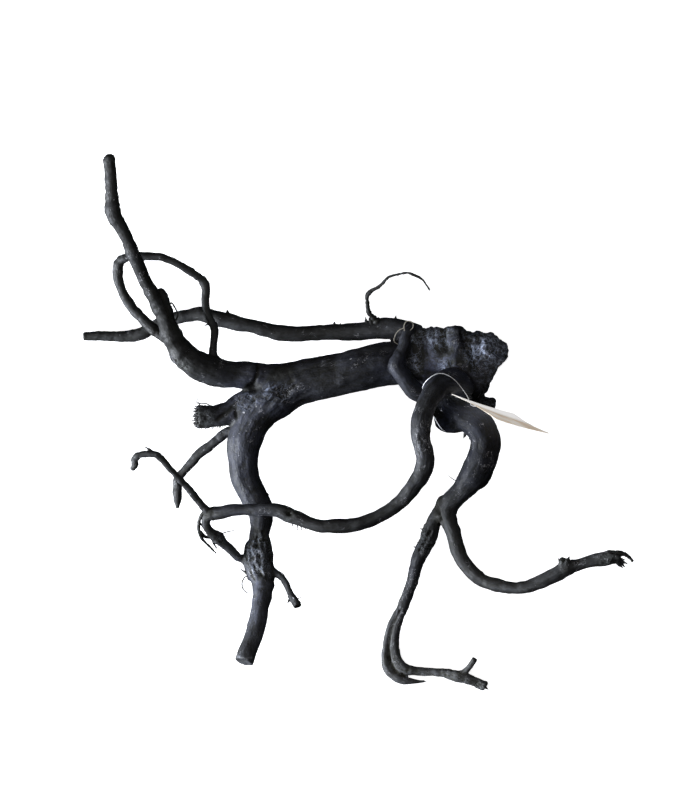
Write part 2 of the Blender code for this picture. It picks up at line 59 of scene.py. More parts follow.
# Sizes in millimetres
BARK = 0.4            # bark over the routes
ROUTE_STEP = 0.8      # between two points of a route
FIBRE_STEP = 0.7      # between two rings of a rootlet
FARTHEST_MOVE = 3.0   # of a skin point towards the wood in one pass
CARD_HOLE = 1.8       # radius
CARD_RIM = 3.0        # width of the aged rim

PASSES = 3            # of moving the skin onto the wood
PALE_WIRE = 0.45      # how pale the wiry fibres are
GOLDEN_ANGLE = 2.39996
PALER_PER_TONE = 60.0   # how many times paler a tone of 1 makes the wood
HIGHEST_TONE = 0.45

# Sizes in metres
FLOOR_REACH = 60.0
PICTURE_HEIGHT = 0.640              # what the camera sees at the wood
PICTURE_MIDDLE = (-0.016, 0.0184)
WOOD_HEIGHT = 0.040                 # of the wood's middle over the floor

# The random pattern of each noise
RIDGE, WRINKLE, LUMP, KNOB, FINE_KNOB = 11, 12, 13, 14, 15
STRIP, CRUST, CHIP, WANDER, BEND, ROUGHNESS = 41, 45, 47, 61, 71, 72
SPLINTER_SEED = 23

# Each length of wood is its middle line: x, y, z and radius, in millimetres, from the thick end
# to the thin one. They follow the CAD part's routes, with more of the wood's small bends.
TRUNK_AND_LEG = [
    (104, 41, 30, 11), (90, 45, 27, 20), (74, 48, 24.2, 25.2), (56, 49.5, 25, 22), (42, 49, 28, 18),
    (29.5, 48, 31, 17.1), (13.5, 45.6, 33.5, 16.5), (-6.5, 41.1, 36, 16.5), (-26.5, 38, 37, 16.3),
    (-46.5, 31.7, 37, 16.3), (-62.5, 23.5, 36, 16.4), (-76.3, 10.6, 35, 15.3), (-86.2, -3, 34, 14),
    (-91.2, -14.5, 33, 13.2), (-92.2, -25.5, 32, 12), (-91.8, -37, 31, 11.2), (-89.4, -46.5, 30, 10.8),
    (-85, -55, 30, 10.4), (-81, -64, 30.5, 10), (-77.5, -73, 31, 9.1), (-78.6, -85, 31, 7.5),
    (-79.3, -90, 31, 7.3), (-79.2, -95, 31, 8.8), (-79.4, -102.5, 31, 10.9), (-79, -110, 32, 11.7),
    (-78, -117.5, 33.5, 11.1), (-76.3, -125.5, 36, 9.2), (-76, -133.5, 38.5, 7.9), (-77.2, -141.5, 41, 7.3),
    (-78.8, -149.5, 43.5, 7), (-82, -165.5, 48.5, 6.8), (-85, -173.5, 51, 6.7),
    (-88, -181.5, 54, 6.8), (-91.3, -191, 57.5, 7.1),
]
HORN = [
    (-46.5, 32.5, 36, 11.6), (-58.5, 35, 36, 11.2), (-72, 36.6, 37, 10.2), (-86.5, 38.1, 39, 10.5),
    (-98.5, 38.7, 41, 9.9), (-110.5, 40.3, 43, 10.6), (-122.5, 43.8, 46, 10.7), (-134.5, 50.6, 50, 10.2),
    (-143.8, 61.3, 55, 8.9), (-150, 73.5, 60, 7.6), (-155.5, 86.5, 66, 6.3), (-161.6, 98.7, 71, 5.6),
    (-168.5, 110.7, 76, 5), (-173.5, 122.2, 81, 5.2), (-178.9, 134.3, 86, 5.3), (-183.8, 146.4, 91, 5),
    (-188.9, 156, 95, 5.4), (-193.4, 163.9, 98, 6.1), (-195.4, 170.2, 100, 6.4), (-195.8, 177.5, 101, 5.3),
    (-196.2, 185.5, 102, 4.7), (-197.1, 197.5, 102, 4.3), (-197.7, 206, 102, 4.2), (-198.2, 211.5, 102, 4),
    (-198.7, 214, 102, 3),
]
HOOP = [
    (-152.5, 66, 52, 4), (-159, 71.1, 50, 4.1), (-167.5, 78, 47, 3.8), (-175.7, 86.7, 45, 3.6),
    (-182.7, 95.2, 44, 3.5), (-188.6, 105, 45, 3.5), (-191.5, 114.5, 47, 3.6), (-192.1, 124.5, 50, 3.8),
    (-188.9, 130.3, 53, 3.3), (-184, 132.8, 56, 2.8), (-178.5, 133.7, 59, 2.8), (-172, 133.2, 61, 2.9),
    (-158.5, 132.8, 62, 2.7), (-151, 130.4, 61, 2.7), (-144.7, 127.8, 60, 2.7), (-128.9, 117.8, 56, 2.8),
    (-123.5, 113, 54, 3.1), (-121.3, 106.3, 53, 3.2), (-121.9, 98.5, 52, 2.8), (-121, 90.5, 51, 2.7),
    (-118, 82.5, 50, 2.6), (-115, 76, 49, 2.8), (-114.5, 70.5, 48, 2.6), (-116, 57, 45, 2.6),
    (-113, 49, 43, 2.8),
]
REAR_ROOT = [
    (48, 69.5, 30, 8.2), (35, 74.6, 28, 7.7), (21.5, 75.2, 25, 7.7), (5.5, 73.8, 23, 6.9),
    (-10.5, 72.5, 21, 6.1), (-26.5, 72.3, 19, 5.8), (-46.5, 71.6, 17, 5.8), (-59, 71.9, 16, 6.2),
    (-70.5, 73.7, 16, 5.6),
    (-82.5, 77.1, 16, 5.4), (-94.5, 79.4, 16, 5.6), (-104, 82.3, 15, 5.9), (-114.5, 84.3, 14, 5.8),
    (-126.5, 87.5, 13, 5.2), (-134.5, 86.2, 12, 4.7), (-149, 83.5, 10, 4.5), (-158.5, 80.2, 8.5, 4.4),
    (-166.5, 76, 6, 4.5), (-174.5, 71.3, 4.2, 4.9), (-181, 70, 3.9, 4.6), (-190.5, 69.3, 3.9, 3.9),
    (-206.5, 69.7, 4.2, 3.4), (-220.3, 69.5, 4.6, 3.1),
]
FRONT_ROOT = [
    (88, 25, 38, 8.8), (81.5, 31, 46, 9.6), (73.5, 33.5, 56, 10), (65.5, 30.5, 66, 9.4),
    (59, 22.5, 75, 8.3), (53.5, 12, 81, 7.9), (50.1, 0, 84, 8.2), (50.5, -12, 85, 7),
    (52.8, -22.5, 84, 6.8), (53.8, -31, 83, 7), (50.6, -40.8, 81, 6.6), (44.7, -48.7, 79, 6.1),
    (38.7, -57.6, 77, 5.6), (29.9, -66.3, 75, 5.1), (17.7, -73.9, 73, 4.9), (5.5, -79, 72, 5),
    (-9, -82.2, 71, 5.2), (-22.5, -82.2, 70, 5.3), (-32, -82, 69, 4.9), (-40, -79.4, 68, 4.9),
    (-48, -75.8, 67, 5.1), (-56, -72.4, 66, 5.2), (-64, -69.6, 65, 5.1), (-72, -68.8, 64, 4.8),
    (-82.5, -69.5, 63, 4.5), (-93, -69.5, 61, 4.2), (-102.5, -70, 59, 4.6), (-110.5, -72, 57, 5),
    (-116, -72.5, 55, 5), (-120, -74.5, 53, 4.2), (-121.5, -78.5, 51, 3.2), (-121, -82.5, 49, 3),
    (-118.5, -86.5, 46, 3.1), (-115, -90, 43, 3.7), (-111, -92.5, 40, 4.3), (-107.3, -96.7, 38, 3.2),
    (-101.5, -101.8, 35.5, 3.3), (-97.5, -106.3, 34, 3.1), (-93.5, -108.6, 33, 2.5), (-87, -110.5, 32, 2.8),
]
TORN_STUB = [
    (-77, 17.5, 34, 12.5), (-89, 15, 34, 11.2), (-101, 9, 34, 9.1), (-110.5, 6.3, 35, 8.3),
    (-119, 4.9, 36, 7.7), (-128.5, 4.9, 37, 8.1),
]
LOW_ROOT = [
    (-94.5, -4, 25, 4.8), (-105.8, -8.2, 22, 3.9), (-118.8, -18.2, 19, 3.4), (-126.8, -24.7, 17, 3.5),
    (-134.5, -33.5, 15, 3.2), (-140.8, -40, 13, 2.9), (-144.3, -45, 12, 3.4), (-144.9, -55, 11, 3.3),
    (-144.6, -61.5, 10.5, 2.7), (-144.8, -68.6, 10, 0.9),
]
CURLED_ROOT = [
    (-117, -73, 56, 3.6), (-121.8, -68.9, 57, 2.9), (-126.9, -62.9, 60, 2.6), (-134.8, -53.2, 66, 2.4),
    (-142.5, -44.5, 72, 2.3), (-148.8, -37.7, 76, 2.4), (-154.2, -31.6, 79, 2.5), (-158.8, -26.6, 81, 2.4),
    (-162.5, -25, 82, 2.3), (-171.5, -25, 81, 2.1), (-175.8, -26.4, 80, 2.4), (-178, -29.5, 78, 2.4),
    (-178, -33.5, 77, 2.4), (-180.6, -37.6, 76, 1.6),
]
THIGH_AND_ARM = [
    (65.5, 21.5, 26, 11.2), (73.5, 12, 33, 12.4), (84, 7, 38, 12), (95.2, -0.2, 42, 12.1),
    (101.2, -10.3, 43, 11.8), (101.1, -20, 42, 11.5), (97.9, -31, 40, 11.6), (93.5, -41.2, 37, 11.2),
    (86, -51.3, 33, 8.6), (78.5, -59.2, 30, 7.9), (73, -65.7, 28, 7.7), (71, -73, 28, 7.4),
    (73, -79, 29, 6.6), (76.7, -89.5, 31, 5.7), (79.6, -101.2, 34, 5.6), (84.6, -111.4, 37, 5.3),
    (91.6, -120.4, 40, 5.4), (101.3, -126.8, 43, 5), (113.5, -130.2, 46, 4.8), (125.5, -132, 48, 4.4),
    (137.5, -130.2, 50, 5), (149.5, -125.1, 52, 5.6), (159, -120.6, 54, 5.7), (166.5, -116.6, 55, 5.3),
    (175, -113.5, 56, 4.3), (185.5, -110.5, 57, 4.5), (196, -108.5, 58, 4.8), (204, -107.2, 58.5, 4.7),
    (209.5, -108, 59, 3.8),
]
SHIN_AND_FOOT = [
    (72.4, -62, 25, 7.1), (67, -70.6, 22.5, 5.9), (61.2, -78.7, 21, 5.5), (58.4, -86.5, 20, 5.9),
    (56, -94.7, 19, 5.5), (51.6, -102.3, 18, 5.5), (48.3, -109.5, 17, 5.2), (44.2, -125.5, 14.5, 4.5),
    (41.3, -133.5, 13, 4.1), (35, -149.5, 11, 3.8), (32.3, -157.5, 9.5, 3.3), (29.7, -166.5, 8, 3.4),
    (28.6, -176, 6.2, 3.7), (28.7, -185.2, 4.6, 4.2), (31.7, -193, 3.6, 4.3), (37.5, -197.7, 3.3, 4.2),
    (45.5, -198.8, 3.1, 3.4), (57.5, -199.8, 3, 3.2), (69.5, -200.8, 3.2, 3.8), (79, -203.5, 4, 4.6),
    (86.5, -205.1, 4.2, 4.2), (94.5, -207.7, 3.9, 3.4), (102.6, -211.4, 3.8, 3.6),
]
FOOT_STRIP = [
    (35.2, -146.5, 11, 1.7), (30.4, -153, 9.5, 1.9), (26.3, -161, 8, 2), (23.7, -169.5, 6.5, 2),
    (22.1, -179, 5, 2.2), (21.8, -188, 4, 2.6), (23, -196.7, 3.4, 2.6), (28.5, -202.8, 3, 3),
    (36, -206.3, 2.8, 3), (43, -207.2, 2.4, 2), (50, -207.6, 2, 0.8), (57, -206.6, 2, 0.3),
]
FOOT_WEB = [(25, -178, 3, 2), (25.6, -189, 2.8, 2.4), (28.8, -197.5, 2.6, 2.7), (37, -202, 2.4, 2.4)]
TOE = [(81.5, -202, 5, 2.6), (86.5, -198.8, 6.5, 2.1), (89.7, -195, 8, 1.9), (94, -189, 10.5, 2)]
SIDE_ROOT = [
    (-73.5, -116, 35, 4.5), (-66.5, -119.8, 38, 2.5), (-61.5, -122.8, 40, 2.4), (-57.5, -128.5, 42, 2.2),
    (-55, -134.5, 44, 2.1), (-52.5, -139.5, 45.5, 2.6), (-50, -143, 46.5, 2.7), (-47.8, -147.8, 47, 3.3),
]
TOP_TWIG = [
    (17, 79, 27, 4), (12.5, 84, 30, 2.6), (8.6, 89, 33, 1.9), (7.4, 97.5, 35, 1.6), (7.4, 101.5, 36, 1.9),
    (10.4, 105.5, 38, 1.6), (15, 108, 40, 1.3), (19, 111, 42, 1.3), (22.5, 115, 44, 1.2),
    (26.5, 117.5, 45, 1.1), (38.5, 120, 48, 1), (44, 118.5, 49, 1.2), (51, 115, 50, 0.9),
    (54.5, 110.5, 50, 0.8), (57.5, 106, 50, 0.7),
]
HORN_KNOB = [(-152, 82.5, 65, 4.8), (-154, 93.5, 68, 4.4), (-156, 101.5, 70, 3.6), (-159, 107, 71, 2.4)]
ARM_KNOB = [(165.5, -118, 55, 4.4), (165, -113, 57, 4.2), (165.4, -108.2, 58, 3.9)]
STRAP_ROOT = [
    (43, 77.5, 38, 3.4), (39, 71, 44, 3.7), (37, 62.5, 48, 4.2), (33, 53.5, 50, 4.8), (30.3, 47, 51, 5.6),
    (34, 39.2, 50, 6), (40.3, 31.4, 47, 6.4), (46.6, 25.2, 43, 6.7), (55.5, 22, 38, 6.2),
]
# The lobes of the gnarled knot. The last point of each is the middle of a cut or broken face.
LOBE_RIGHT = [(84, 38, 22, 14), (94, 47, 28, 13.6), (102.5, 54, 36, 12.6), (110.6, 60.9, 45, 11.3)]
LOBE_SHOULDER = [(92, 47, 33, 12), (93, 59, 36, 11.5), (92, 72.5, 37, 8.7)]
LOBE_UPPER = [(77.5, 47, 36, 11.5), (77, 61.5, 41, 9.6), (76.5, 77.4, 43, 8.6)]
LOBE_LEFT = [(64, 49, 34, 12.6), (62.5, 61.5, 37, 11.2), (61, 76.4, 38, 8.6)]
LOBE_BACK = [(48, 60, 30, 11), (51, 68, 31, 9), (52, 74.5, 31, 6.4)]
LOBE_BELOW = [(61, 29.5, 27, 10.8), (76, 25.5, 28, 12.8), (90, 27.5, 28, 11), (99, 33, 28, 8.5)]
LOBE_FLANK = [(84, 40, 27, 19), (97, 39.5, 27, 14.2), (106.8, 35.5, 27, 11)]
LOBE_HEEL = [(83, 9, 36, 10), (77.5, 4.5, 34.5, 11.6), (70, 3.2, 34.5, 10.2), (61.5, 4.5, 35, 8)]
NECK = [(76, 31, 30, 11), (83, 20, 33, 10.5), (88, 9, 37, 10)]
LOWER_STUB = [(89.5, 22, 26, 6.2), (101, 16.6, 27, 4.6), (109.6, 15, 27, 4)]

# Every length of wood with how softly it grows into the others (in mm), the height of its ridges
# and lumps and how rough its crust is, as shares of the usual, and how round its end is, as a
# share of its radius.
LENGTHS = [
    (TRUNK_AND_LEG, 3.0, 0.8, 1.1, 0.0, 0.10),
    (HORN, 6.0, 0.8, 1.4, 0.0, 0.95),
    (TORN_STUB, 5.0, 1.1, 1.0, 0.2, 0.15),
    (LOBE_RIGHT, 4.5, 0.3, 1.0, 0.8, 0.14),
    (LOBE_SHOULDER, 5.0, 0.3, 1.5, 1.0, 0.5),
    (LOBE_UPPER, 5.0, 0.3, 1.3, 0.5, 0.6),
    (LOBE_LEFT, 5.0, 0.3, 1.4, 0.6, 0.7),
    (LOBE_BACK, 4.0, 0.5, 1.4, 1.0, 0.5),
    (LOBE_BELOW, 5.0, 0.4, 1.4, 0.4, 0.5),
    (LOBE_FLANK, 5.0, 0.3, 1.4, 0.9, 0.6),
    (NECK, 5.0, 0.6, 1.2, 0.3, 0.9),
    (LOWER_STUB, 1.5, 0.8, 1.3, 0.6, 0.2),
    (LOBE_HEEL, 5.0, 0.5, 1.2, 0.1, 0.9),
    (THIGH_AND_ARM, 5.0, 0.8, 1.1, 0.0, 0.3),
    (SHIN_AND_FOOT, 3.5, 2.2, 1.0, 0.1, 0.3),
    (REAR_ROOT, 3.0, 0.9, 1.2, 0.05, 0.08),
    (FRONT_ROOT, 3.0, 0.9, 1.1, 0.0, 0.6),
    (HOOP, 2.5, 0.9, 2.0, 0.0, 0.5),
    (HORN_KNOB, 1.2, 1.0, 1.2, 0.3, 0.7),
    (STRAP_ROOT, 1.4, 0.7, 1.3, 0.1, 0.5),
    (LOW_ROOT, 2.5, 0.9, 1.6, 0.0, 0.6),
    (CURLED_ROOT, 2.0, 0.9, 1.8, 0.0, 0.6),
    (SIDE_ROOT, 2.0, 0.9, 1.6, 0.0, 0.8),
    (FOOT_STRIP, 0.7, 2.0, 1.0, 0.0, 0.6),
    (FOOT_WEB, 0.5, 1.0, 1.0, 0.0, 0.6),
    (TOE, 1.0, 1.0, 1.0, 0.1, 0.3),
    (ARM_KNOB, 1.5, 1.0, 1.2, 0.3, 0.3),
]

# Rootlets and fibres, too thin for the skin of the wood
ROOTLETS = [
    TOP_TWIG,
    [(-118, -71, 55, 2.4), (-123.5, -72.5, 54, 1.8), (-126.6, -77.5, 52, 1.4), (-127.4, -84, 49, 1.4),
     (-126, -90.5, 46, 1.3), (-122.5, -95, 43, 1.2), (-118.6, -99, 40, 1), (-113.5, -104.3, 36, 0.6)],
    [(-126, -86.5, 48, 1.1), (-123, -90.5, 44, 1.3), (-119, -91.5, 43, 1.2), (-114, -91.5, 42.5, 0.9)],
    [(-117, -91, 42, 1.2), (-115.5, -96, 39, 0.9), (-113, -100.5, 36, 0.5)],
    [(-120, -86, 47, 1.1), (-123.5, -83, 48, 1), (-126.5, -80, 50, 0.8)],
    [(-151, 92, 68, 0.8), (-149, 96, 69, 0.65), (-145.5, 91, 68, 0.6), (-144, 85.5, 66, 0.6),
     (-148, 79, 62, 0.6)],
    [(-86, -122, 36, 0.7), (-90.5, -123.4, 37, 0.55), (-92.8, -128.2, 38, 0.5), (-91.6, -133.4, 38, 0.48),
     (-88, -136.4, 38, 0.4)],
    [(-110, -89, 42, 0.6), (-106, -87.4, 43, 0.4), (-98.6, -85.8, 43, 0.28)],
    [(-49, -79, 68, 0.6), (-48.2, -84, 67, 0.35), (-49, -87, 66, 0.2)],
    [(-46, -80, 68, 0.6), (-45, -85, 67, 0.35), (-43.6, -87.2, 66, 0.2)],
    [(-52, -77.5, 68, 0.6), (-52.2, -82, 67, 0.35), (-50.5, -84.6, 66, 0.2)],
    [(-43, -81, 68, 0.5), (-41.5, -86, 67, 0.2)],
    [(72, -41.5, 34, 0.2), (76, -45, 35, 0.35), (80, -46.5, 36, 0.5), (84, -46, 36, 0.5)],
    [(-130, 18, 41, 0.2), (-128, 15.8, 41, 0.4), (-122, 15.6, 41, 0.4), (-118, 14, 40, 0.5)],
    [(-128.5, 20.5, 42, 0.2), (-127.5, 16, 41, 0.35), (-125, 13, 40, 0.5)],
    [(-50, -142, 47, 0.5), (-46, -139.5, 48, 0.3), (-44, -141, 48, 0.2)],
    [(203, -105, 59, 2.8), (210, -104.2, 60, 2.2), (215.5, -106.4, 60.5, 1.5), (219.8, -110.6, 60.5, 1.1)],
]
# Pale wiry fibres that curl over the strap root
WIRES = [
    [(38, 71, 45, 0.5), (36.8, 77.5, 48, 0.45), (39, 81.3, 49, 0.4), (43.5, 80.5, 49, 0.4),
     (44, 76.5, 47, 0.4), (41, 73.5, 46, 0.4)],
    [(36.5, 76, 47, 0.45), (32.5, 74, 46, 0.42), (29.8, 70, 44, 0.4), (29, 65.5, 41, 0.38),
     (33, 62, 42, 0.36)],
]
# Short broken spurs: root, tip and root radius
SPURS = [
    ((-104, 84, 16), (-105, 91, 18), 2.6),
    ((30, 77, 26), (30.5, 86.5, 28), 3.4),
    ((-18.5, 76, 21), (-18.8, 81.2, 22), 2.4),
    ((-14, 76, 21), (-14.2, 80.2, 22), 2.0),
    ((8, 78, 26), (6, 85, 27), 1.8),
    ((88, -5, 38), (84.2, -12.6, 37), 2.6),
    ((91, -8, 38), (89.0, -13.4, 37), 2.2),
    ((-73.5, -57, 33), (-71.5, -57.5, 40), 1.4),
    ((57, -86, 20), (49.5, -84.5, 20), 2.0),
    ((54, -94, 19), (47.4, -96, 19), 1.8),
    ((50, -102, 18), (44.2, -99, 18), 1.8),
    ((-116.5, 80.5, 50), (-123, 77.8, 49), 1.9),
    ((-83, -123, 34), (-94.3, -117, 35), 2.0),
    ((-54, -140, 45.5), (-56.5, -144.5, 46), 1.3),
    ((202, -106, 58.5), (208.5, -101.5, 60), 1.8),
    ((205, -109, 58), (214, -115.5, 57), 1.8),
    ((207, -107, 58.5), (213.5, -109.5, 59), 1.6),
    ((-159, -27.5, 81.5), (-170.4, -18.4, 81), 2.1),
    ((84, -203, 5), (88.5, -196, 4), 1.6),
    ((98, -209, 4), (105, -214, 4), 2.2),
    ((24, 50, 45), (21, 52.5, 48), 2.6),
    ((163, -114, 57), (159.6, -107.8, 60), 2.4),
    ((167, -113, 57), (168.8, -106.4, 60), 2.2),
    ((60, -76, 22), (53, -83, 22), 1.8),
    ((9, 80.5, 25), (31, 82.5, 28), 4.4),
    ((204, -110, 58), (213, -112.5, 57), 2.2),
    ((206, -110.5, 58), (212, -116, 57), 1.8),
    ((208, -109, 58), (216, -113, 57.5), 1.4),
    ((55.5, -81, 21), (50.2, -89, 21), 2.0),
]
# Places of torn, knotted bark on the wood: middle, reach and strength
TORN_PLACES = [
    ((-79, -106, 38), (12, 18, 14), 1.5),
    ((-140, 47, 55), (15, 9, 12), 0.7),
    ((-66, 24, 52), (20, 12, 10), 0.9),
    ((-90, 17, 46), (14, 12, 12), 0.9),
    ((-122, 6, 38), (14, 12, 12), 0.9),
    ((-88, -6, 47), (9, 14, 9), 0.35),
    ((46, 50, 40), (9, 18, 14), 0.8),
    ((54, -94, 20), (8, 16, 10), 1.2),
    ((200, -108, 59), (13, 9, 8), 1.0),
    ((-87, -187, 58), (8, 5, 8), 0.3),
    ((-56, -73, 66), (7, 8, 8), 0.9),
    ((-112, -90, 42), (12, 13, 12), 0.7),
    ((-197, 208, 102), (7, 9, 8), 0.7),
    ((78, 3, 44), (12, 9, 8), 0.4),
    ((52, -14, 88), (6, 22, 9), 0.35),
    ((98, 57, 46), (8, 15, 14), 1.3),
    ((57, 68, 44), (9, 9, 12), 0.9),
    ((165, -110, 59), (7, 6, 7), 0.9),
    ((98, -210, 5), (8, 6, 6), 0.9),
    ((-168, -26, 82), (14, 6, 8), 0.3),
    ((70, 46, 46), (14, 12, 12), 0.6),
]
# Where the wood is paler (above 0) or darker (below 0): dustier or blacker wood, and also painted light on
# lit faces and painted shade where other limbs shadow it: middle, reach and strength
TONES_AND_PAINTED_LIGHT = [
    ((62, 58, 45), (20, 26, 26), 0.36),
    ((68, 46, 46), (14, 9, 14), 0.16),
    ((81, 70, 48), (4, 9, 12), -0.40),
    ((98, 54, 46), (8, 15, 16), 0.04),
    ((96, 56, 44), (24, 24, 28), 0.20),
    ((111, 62, 48), (9, 10, 16), 0.50),
    ((76, 76, 44), (40, 6, 20), 0.10),
    ((67, 5, 40), (15, 15, 18), -0.55),
    ((30, 47, 52), (10, 14, 10), -0.12),
    ((-48, -149, 47), (5, 4, 6), -0.30),
    ((15, 48, 46), (50, 16, 20), 0.07),
    ((-90, -20, 44), (14, 30, 16), 0.05),
    ((92, 24, 36), (22, 9, 16), -0.35),
    ((70, -202, 5), (45, 14, 10), 0.36),
    ((28, -184, 6), (14, 30, 10), 0.20),
    ((-80, -145, 45), (16, 55, 30), 0.20),
    ((-92, -192, 58), (9, 6, 9), 0.24),
    ((170, -115, 56), (50, 20, 14), 0.08),
    ((100, -20, 46), (20, 36, 20), -0.16),
    ((30, -78, 72), (60, 16, 14), -0.20),
    ((54, -10, 84), (14, 40, 16), -0.05),
    ((-60, 75, 17), (110, 12, 14), -0.05),
    ((-150, 60, 50), (40, 30, 26), -0.10),
    ((-170, 120, 84), (30, 60, 30), -0.14),
]
# Worn edges, scratches and painted highlights along lit edges, seen from above: points of x and y, half its
# width and its strength
WORN_EDGES_AND_HIGHLIGHTS = [
    ([(100.8, 70.1), (106.9, 64), (114.6, 60.9), (118.3, 61.7)], 0.9, 0.40),
    ([(86.4, 59.4), (85.6, 51.8), (90.2, 47.3)], 0.9, 0.30),
    ([(92.5, 67.8), (94.8, 59.4), (100.8, 56.4), (106.9, 53.4)], 0.9, 0.30),
    ([(100.8, 68.6), (98.6, 59.4), (103.9, 54.9)], 0.8, 0.30),
    ([(114.6, 50.3), (108.5, 41.2), (104.6, 33.6)], 1.4, 0.30),
    ([(53.7, 70.8), (59.8, 64), (68.2, 57.9)], 1.3, 0.25),
    ([(66.6, 74.6), (68.2, 64), (68.9, 57.9)], 1.0, 0.25),
    ([(55.2, 50.3), (62.8, 56.4), (73.4, 54.9)], 1.2, 0.25),
    ([(45.4, 50.3), (47.6, 42.7), (52.2, 37.4)], 1.0, 0.35),
    ([(-97.5, -185), (-94, -187), (-89, -187.8), (-84.5, -187.2)], 0.9, 0.35),
    ([(-91.5, 27.7), (-80.9, 17.1), (-73.4, 11.8)], 1.0, 0.25),
    ([(-73.4, 26.6), (-60.7, 30.9), (-52.2, 34.1)], 1.0, 0.25),
    ([(-148, 56), (-143, 48), (-137, 42.5)], 1.2, 0.35),
    ([(47.6, -6), (49.9, -12.1), (49.1, -18.2), (50.6, -27.3)], 0.9, 0.35),
    ([(89.6, -119), (102.6, -130), (126.3, -134), (148, -129.9)], 1.6, 0.22),
    ([(-83, -103), (-78, -110), (-77, -120), (-80, -128)], 1.0, 0.25),
]
# Where the wood is bluish, and not grey: middle, reach and strength
BLUES = [
    ((80, 50, 45), (60, 40, 40), 1.0),
    ((-90, -30, 44), (24, 70, 30), 1.0),
    ((96, -30, 44), (24, 40, 24), 0.8),
    ((-70, 20, 50), (40, 26, 20), 0.9),
    ((-80, -140, 45), (20, 60, 30), 0.6),
    ((10, 44, 50), (60, 16, 20), 0.6),
    ((86, 0, 44), (26, 26, 20), 0.8),
    ((52, -20, 84), (20, 50, 20), 0.5),
    ((45, -120, 18), (20, 60, 20), 0.5),
]
# Where the wood is scuffed and scratched: middle, reach and strength
SCUFFS = [
    ((50, -12, 88), (8, 26, 12), 1.0),
    ((-140, 50, 50), (18, 14, 14), 0.9),
    ((78, 4.5, 46), (7, 6, 10), 1.0),
    ((-64, 24, 50), (22, 14, 12), 0.7),
    ((-79, -112, 40), (12, 20, 14), 0.9),
    ((-94, 0, 44), (16, 22, 14), 0.5),
    ((46, 50, 40), (10, 18, 14), 1.0),
    ((92, 58, 44), (16, 16, 14), 1.0),
    ((-178, 132, 86), (16, 40, 16), 0.5),
    ((196, -108, 60), (22, 10, 8), 0.7),
    ((0, 52, 48), (26, 10, 10), 0.5),
    ((100, -30, 48), (14, 22, 10), 0.4),
    ((42, -128, 16), (12, 34, 12), 1.0),
    ((28, -184, 8), (14, 22, 10), 0.8),
    ((70, -202, 6), (36, 10, 8), 0.8),
]
# Cracks and creases seen from above: points of x and y, with half its width and its depth
CRACKS = [
    ([(83.2, 76), (86.4, 64), (90.5, 52), (93, 42)], 2.0, 4.5),
    ([(69, 77), (68.4, 66), (71, 58)], 1.6, 2.6),
    ([(93, 72), (96.5, 66), (102, 59.5), (108, 56.5), (116, 57)], 0.9, 1.2),
    ([(-80, 45.5), (-81, 38), (-83, 31)], 1.3, 2.4),
    ([(-112, 3), (-104, 9), (-94, 19)], 1.5, 1.8),
    ([(-98, 12), (-97, 4)], 1.1, 1.6),
    ([(-74, 20), (-64, 27), (-52, 34)], 1.2, 1.6),
    ([(-70, 17), (-60, 23), (-50, 30)], 1.0, 1.2),
    ([(58, -87), (54, -95), (49, -102)], 0.9, 2.6),
    ([(62.5, -64), (65.5, -75), (67, -86)], 1.1, 2.8),
    ([(33.8, -150), (27.8, -163), (24.8, -176), (24.8, -188), (29, -199), (38, -203.3)], 0.6, 1.5),
    ([(-84, -90), (-87, -100), (-83, -113), (-77, -122)], 1.0, 2.0),
    ([(-76, -87), (-72, -97), (-69.5, -110)], 1.0, 1.8),
    ([(-90, -102), (-88, -114), (-83, -125)], 0.9, 1.6),
]
# Round hollows seen from above: x, y, half its width and length, and its depth
HOLLOWS = [
    ((-84, 28), (4, 3), 4.0),
    ((-80.5, -94), (2.4, 6.5), 3.4),
    ((-54.5, -72), (2.3, 2.0), 2.6),
    ((46, 51), (5, 11), 5.5),
    ((67, 60), (5, 3), 2.0),
    ((164.6, -109.4), (2.2, 1.8), 2.6),
    ((-48.2, -147.4), (1.6, 1.8), 1.6),
]
LOOP_ROUTE = [
    (52, 25.5, 66.5), (52.1, 30.2, 71.5), (55.7, 34.8, 76), (61, 38.5, 77.5), (66, 39.6, 77),
    (71.5, 38.2, 75), (77.5, 34, 71), (83, 27.6, 66), (87, 21.8, 62), (89.3, 16.9, 59.4),
    (90.8, 14, 55), (94.8, 13.3, 48.5), (97.8, 13.6, 42), (96.6, 12.3, 33.5), (90.5, 7.5, 25),
    (83, 1.5, 20.5), (76, -5, 23), (72, -7.3, 29), (70.4, -7.3, 35.5), (65.5, -3, 45), (60.5, 5.5, 50),
    (56, 14.5, 58),
]
# The card's corners as it is seen: by the loop's hole, then along its long edge, across and back.
# They set its outline, which isn't quite the CAD part's rectangle.
TAG_CORNERS = np.array([(74, 23.4, 60), (125, 7.3, 21), (153.5, -8.5, 60), (110, 3.2, 97)], float)
TAG_HOLE = (14.0, 8.5)


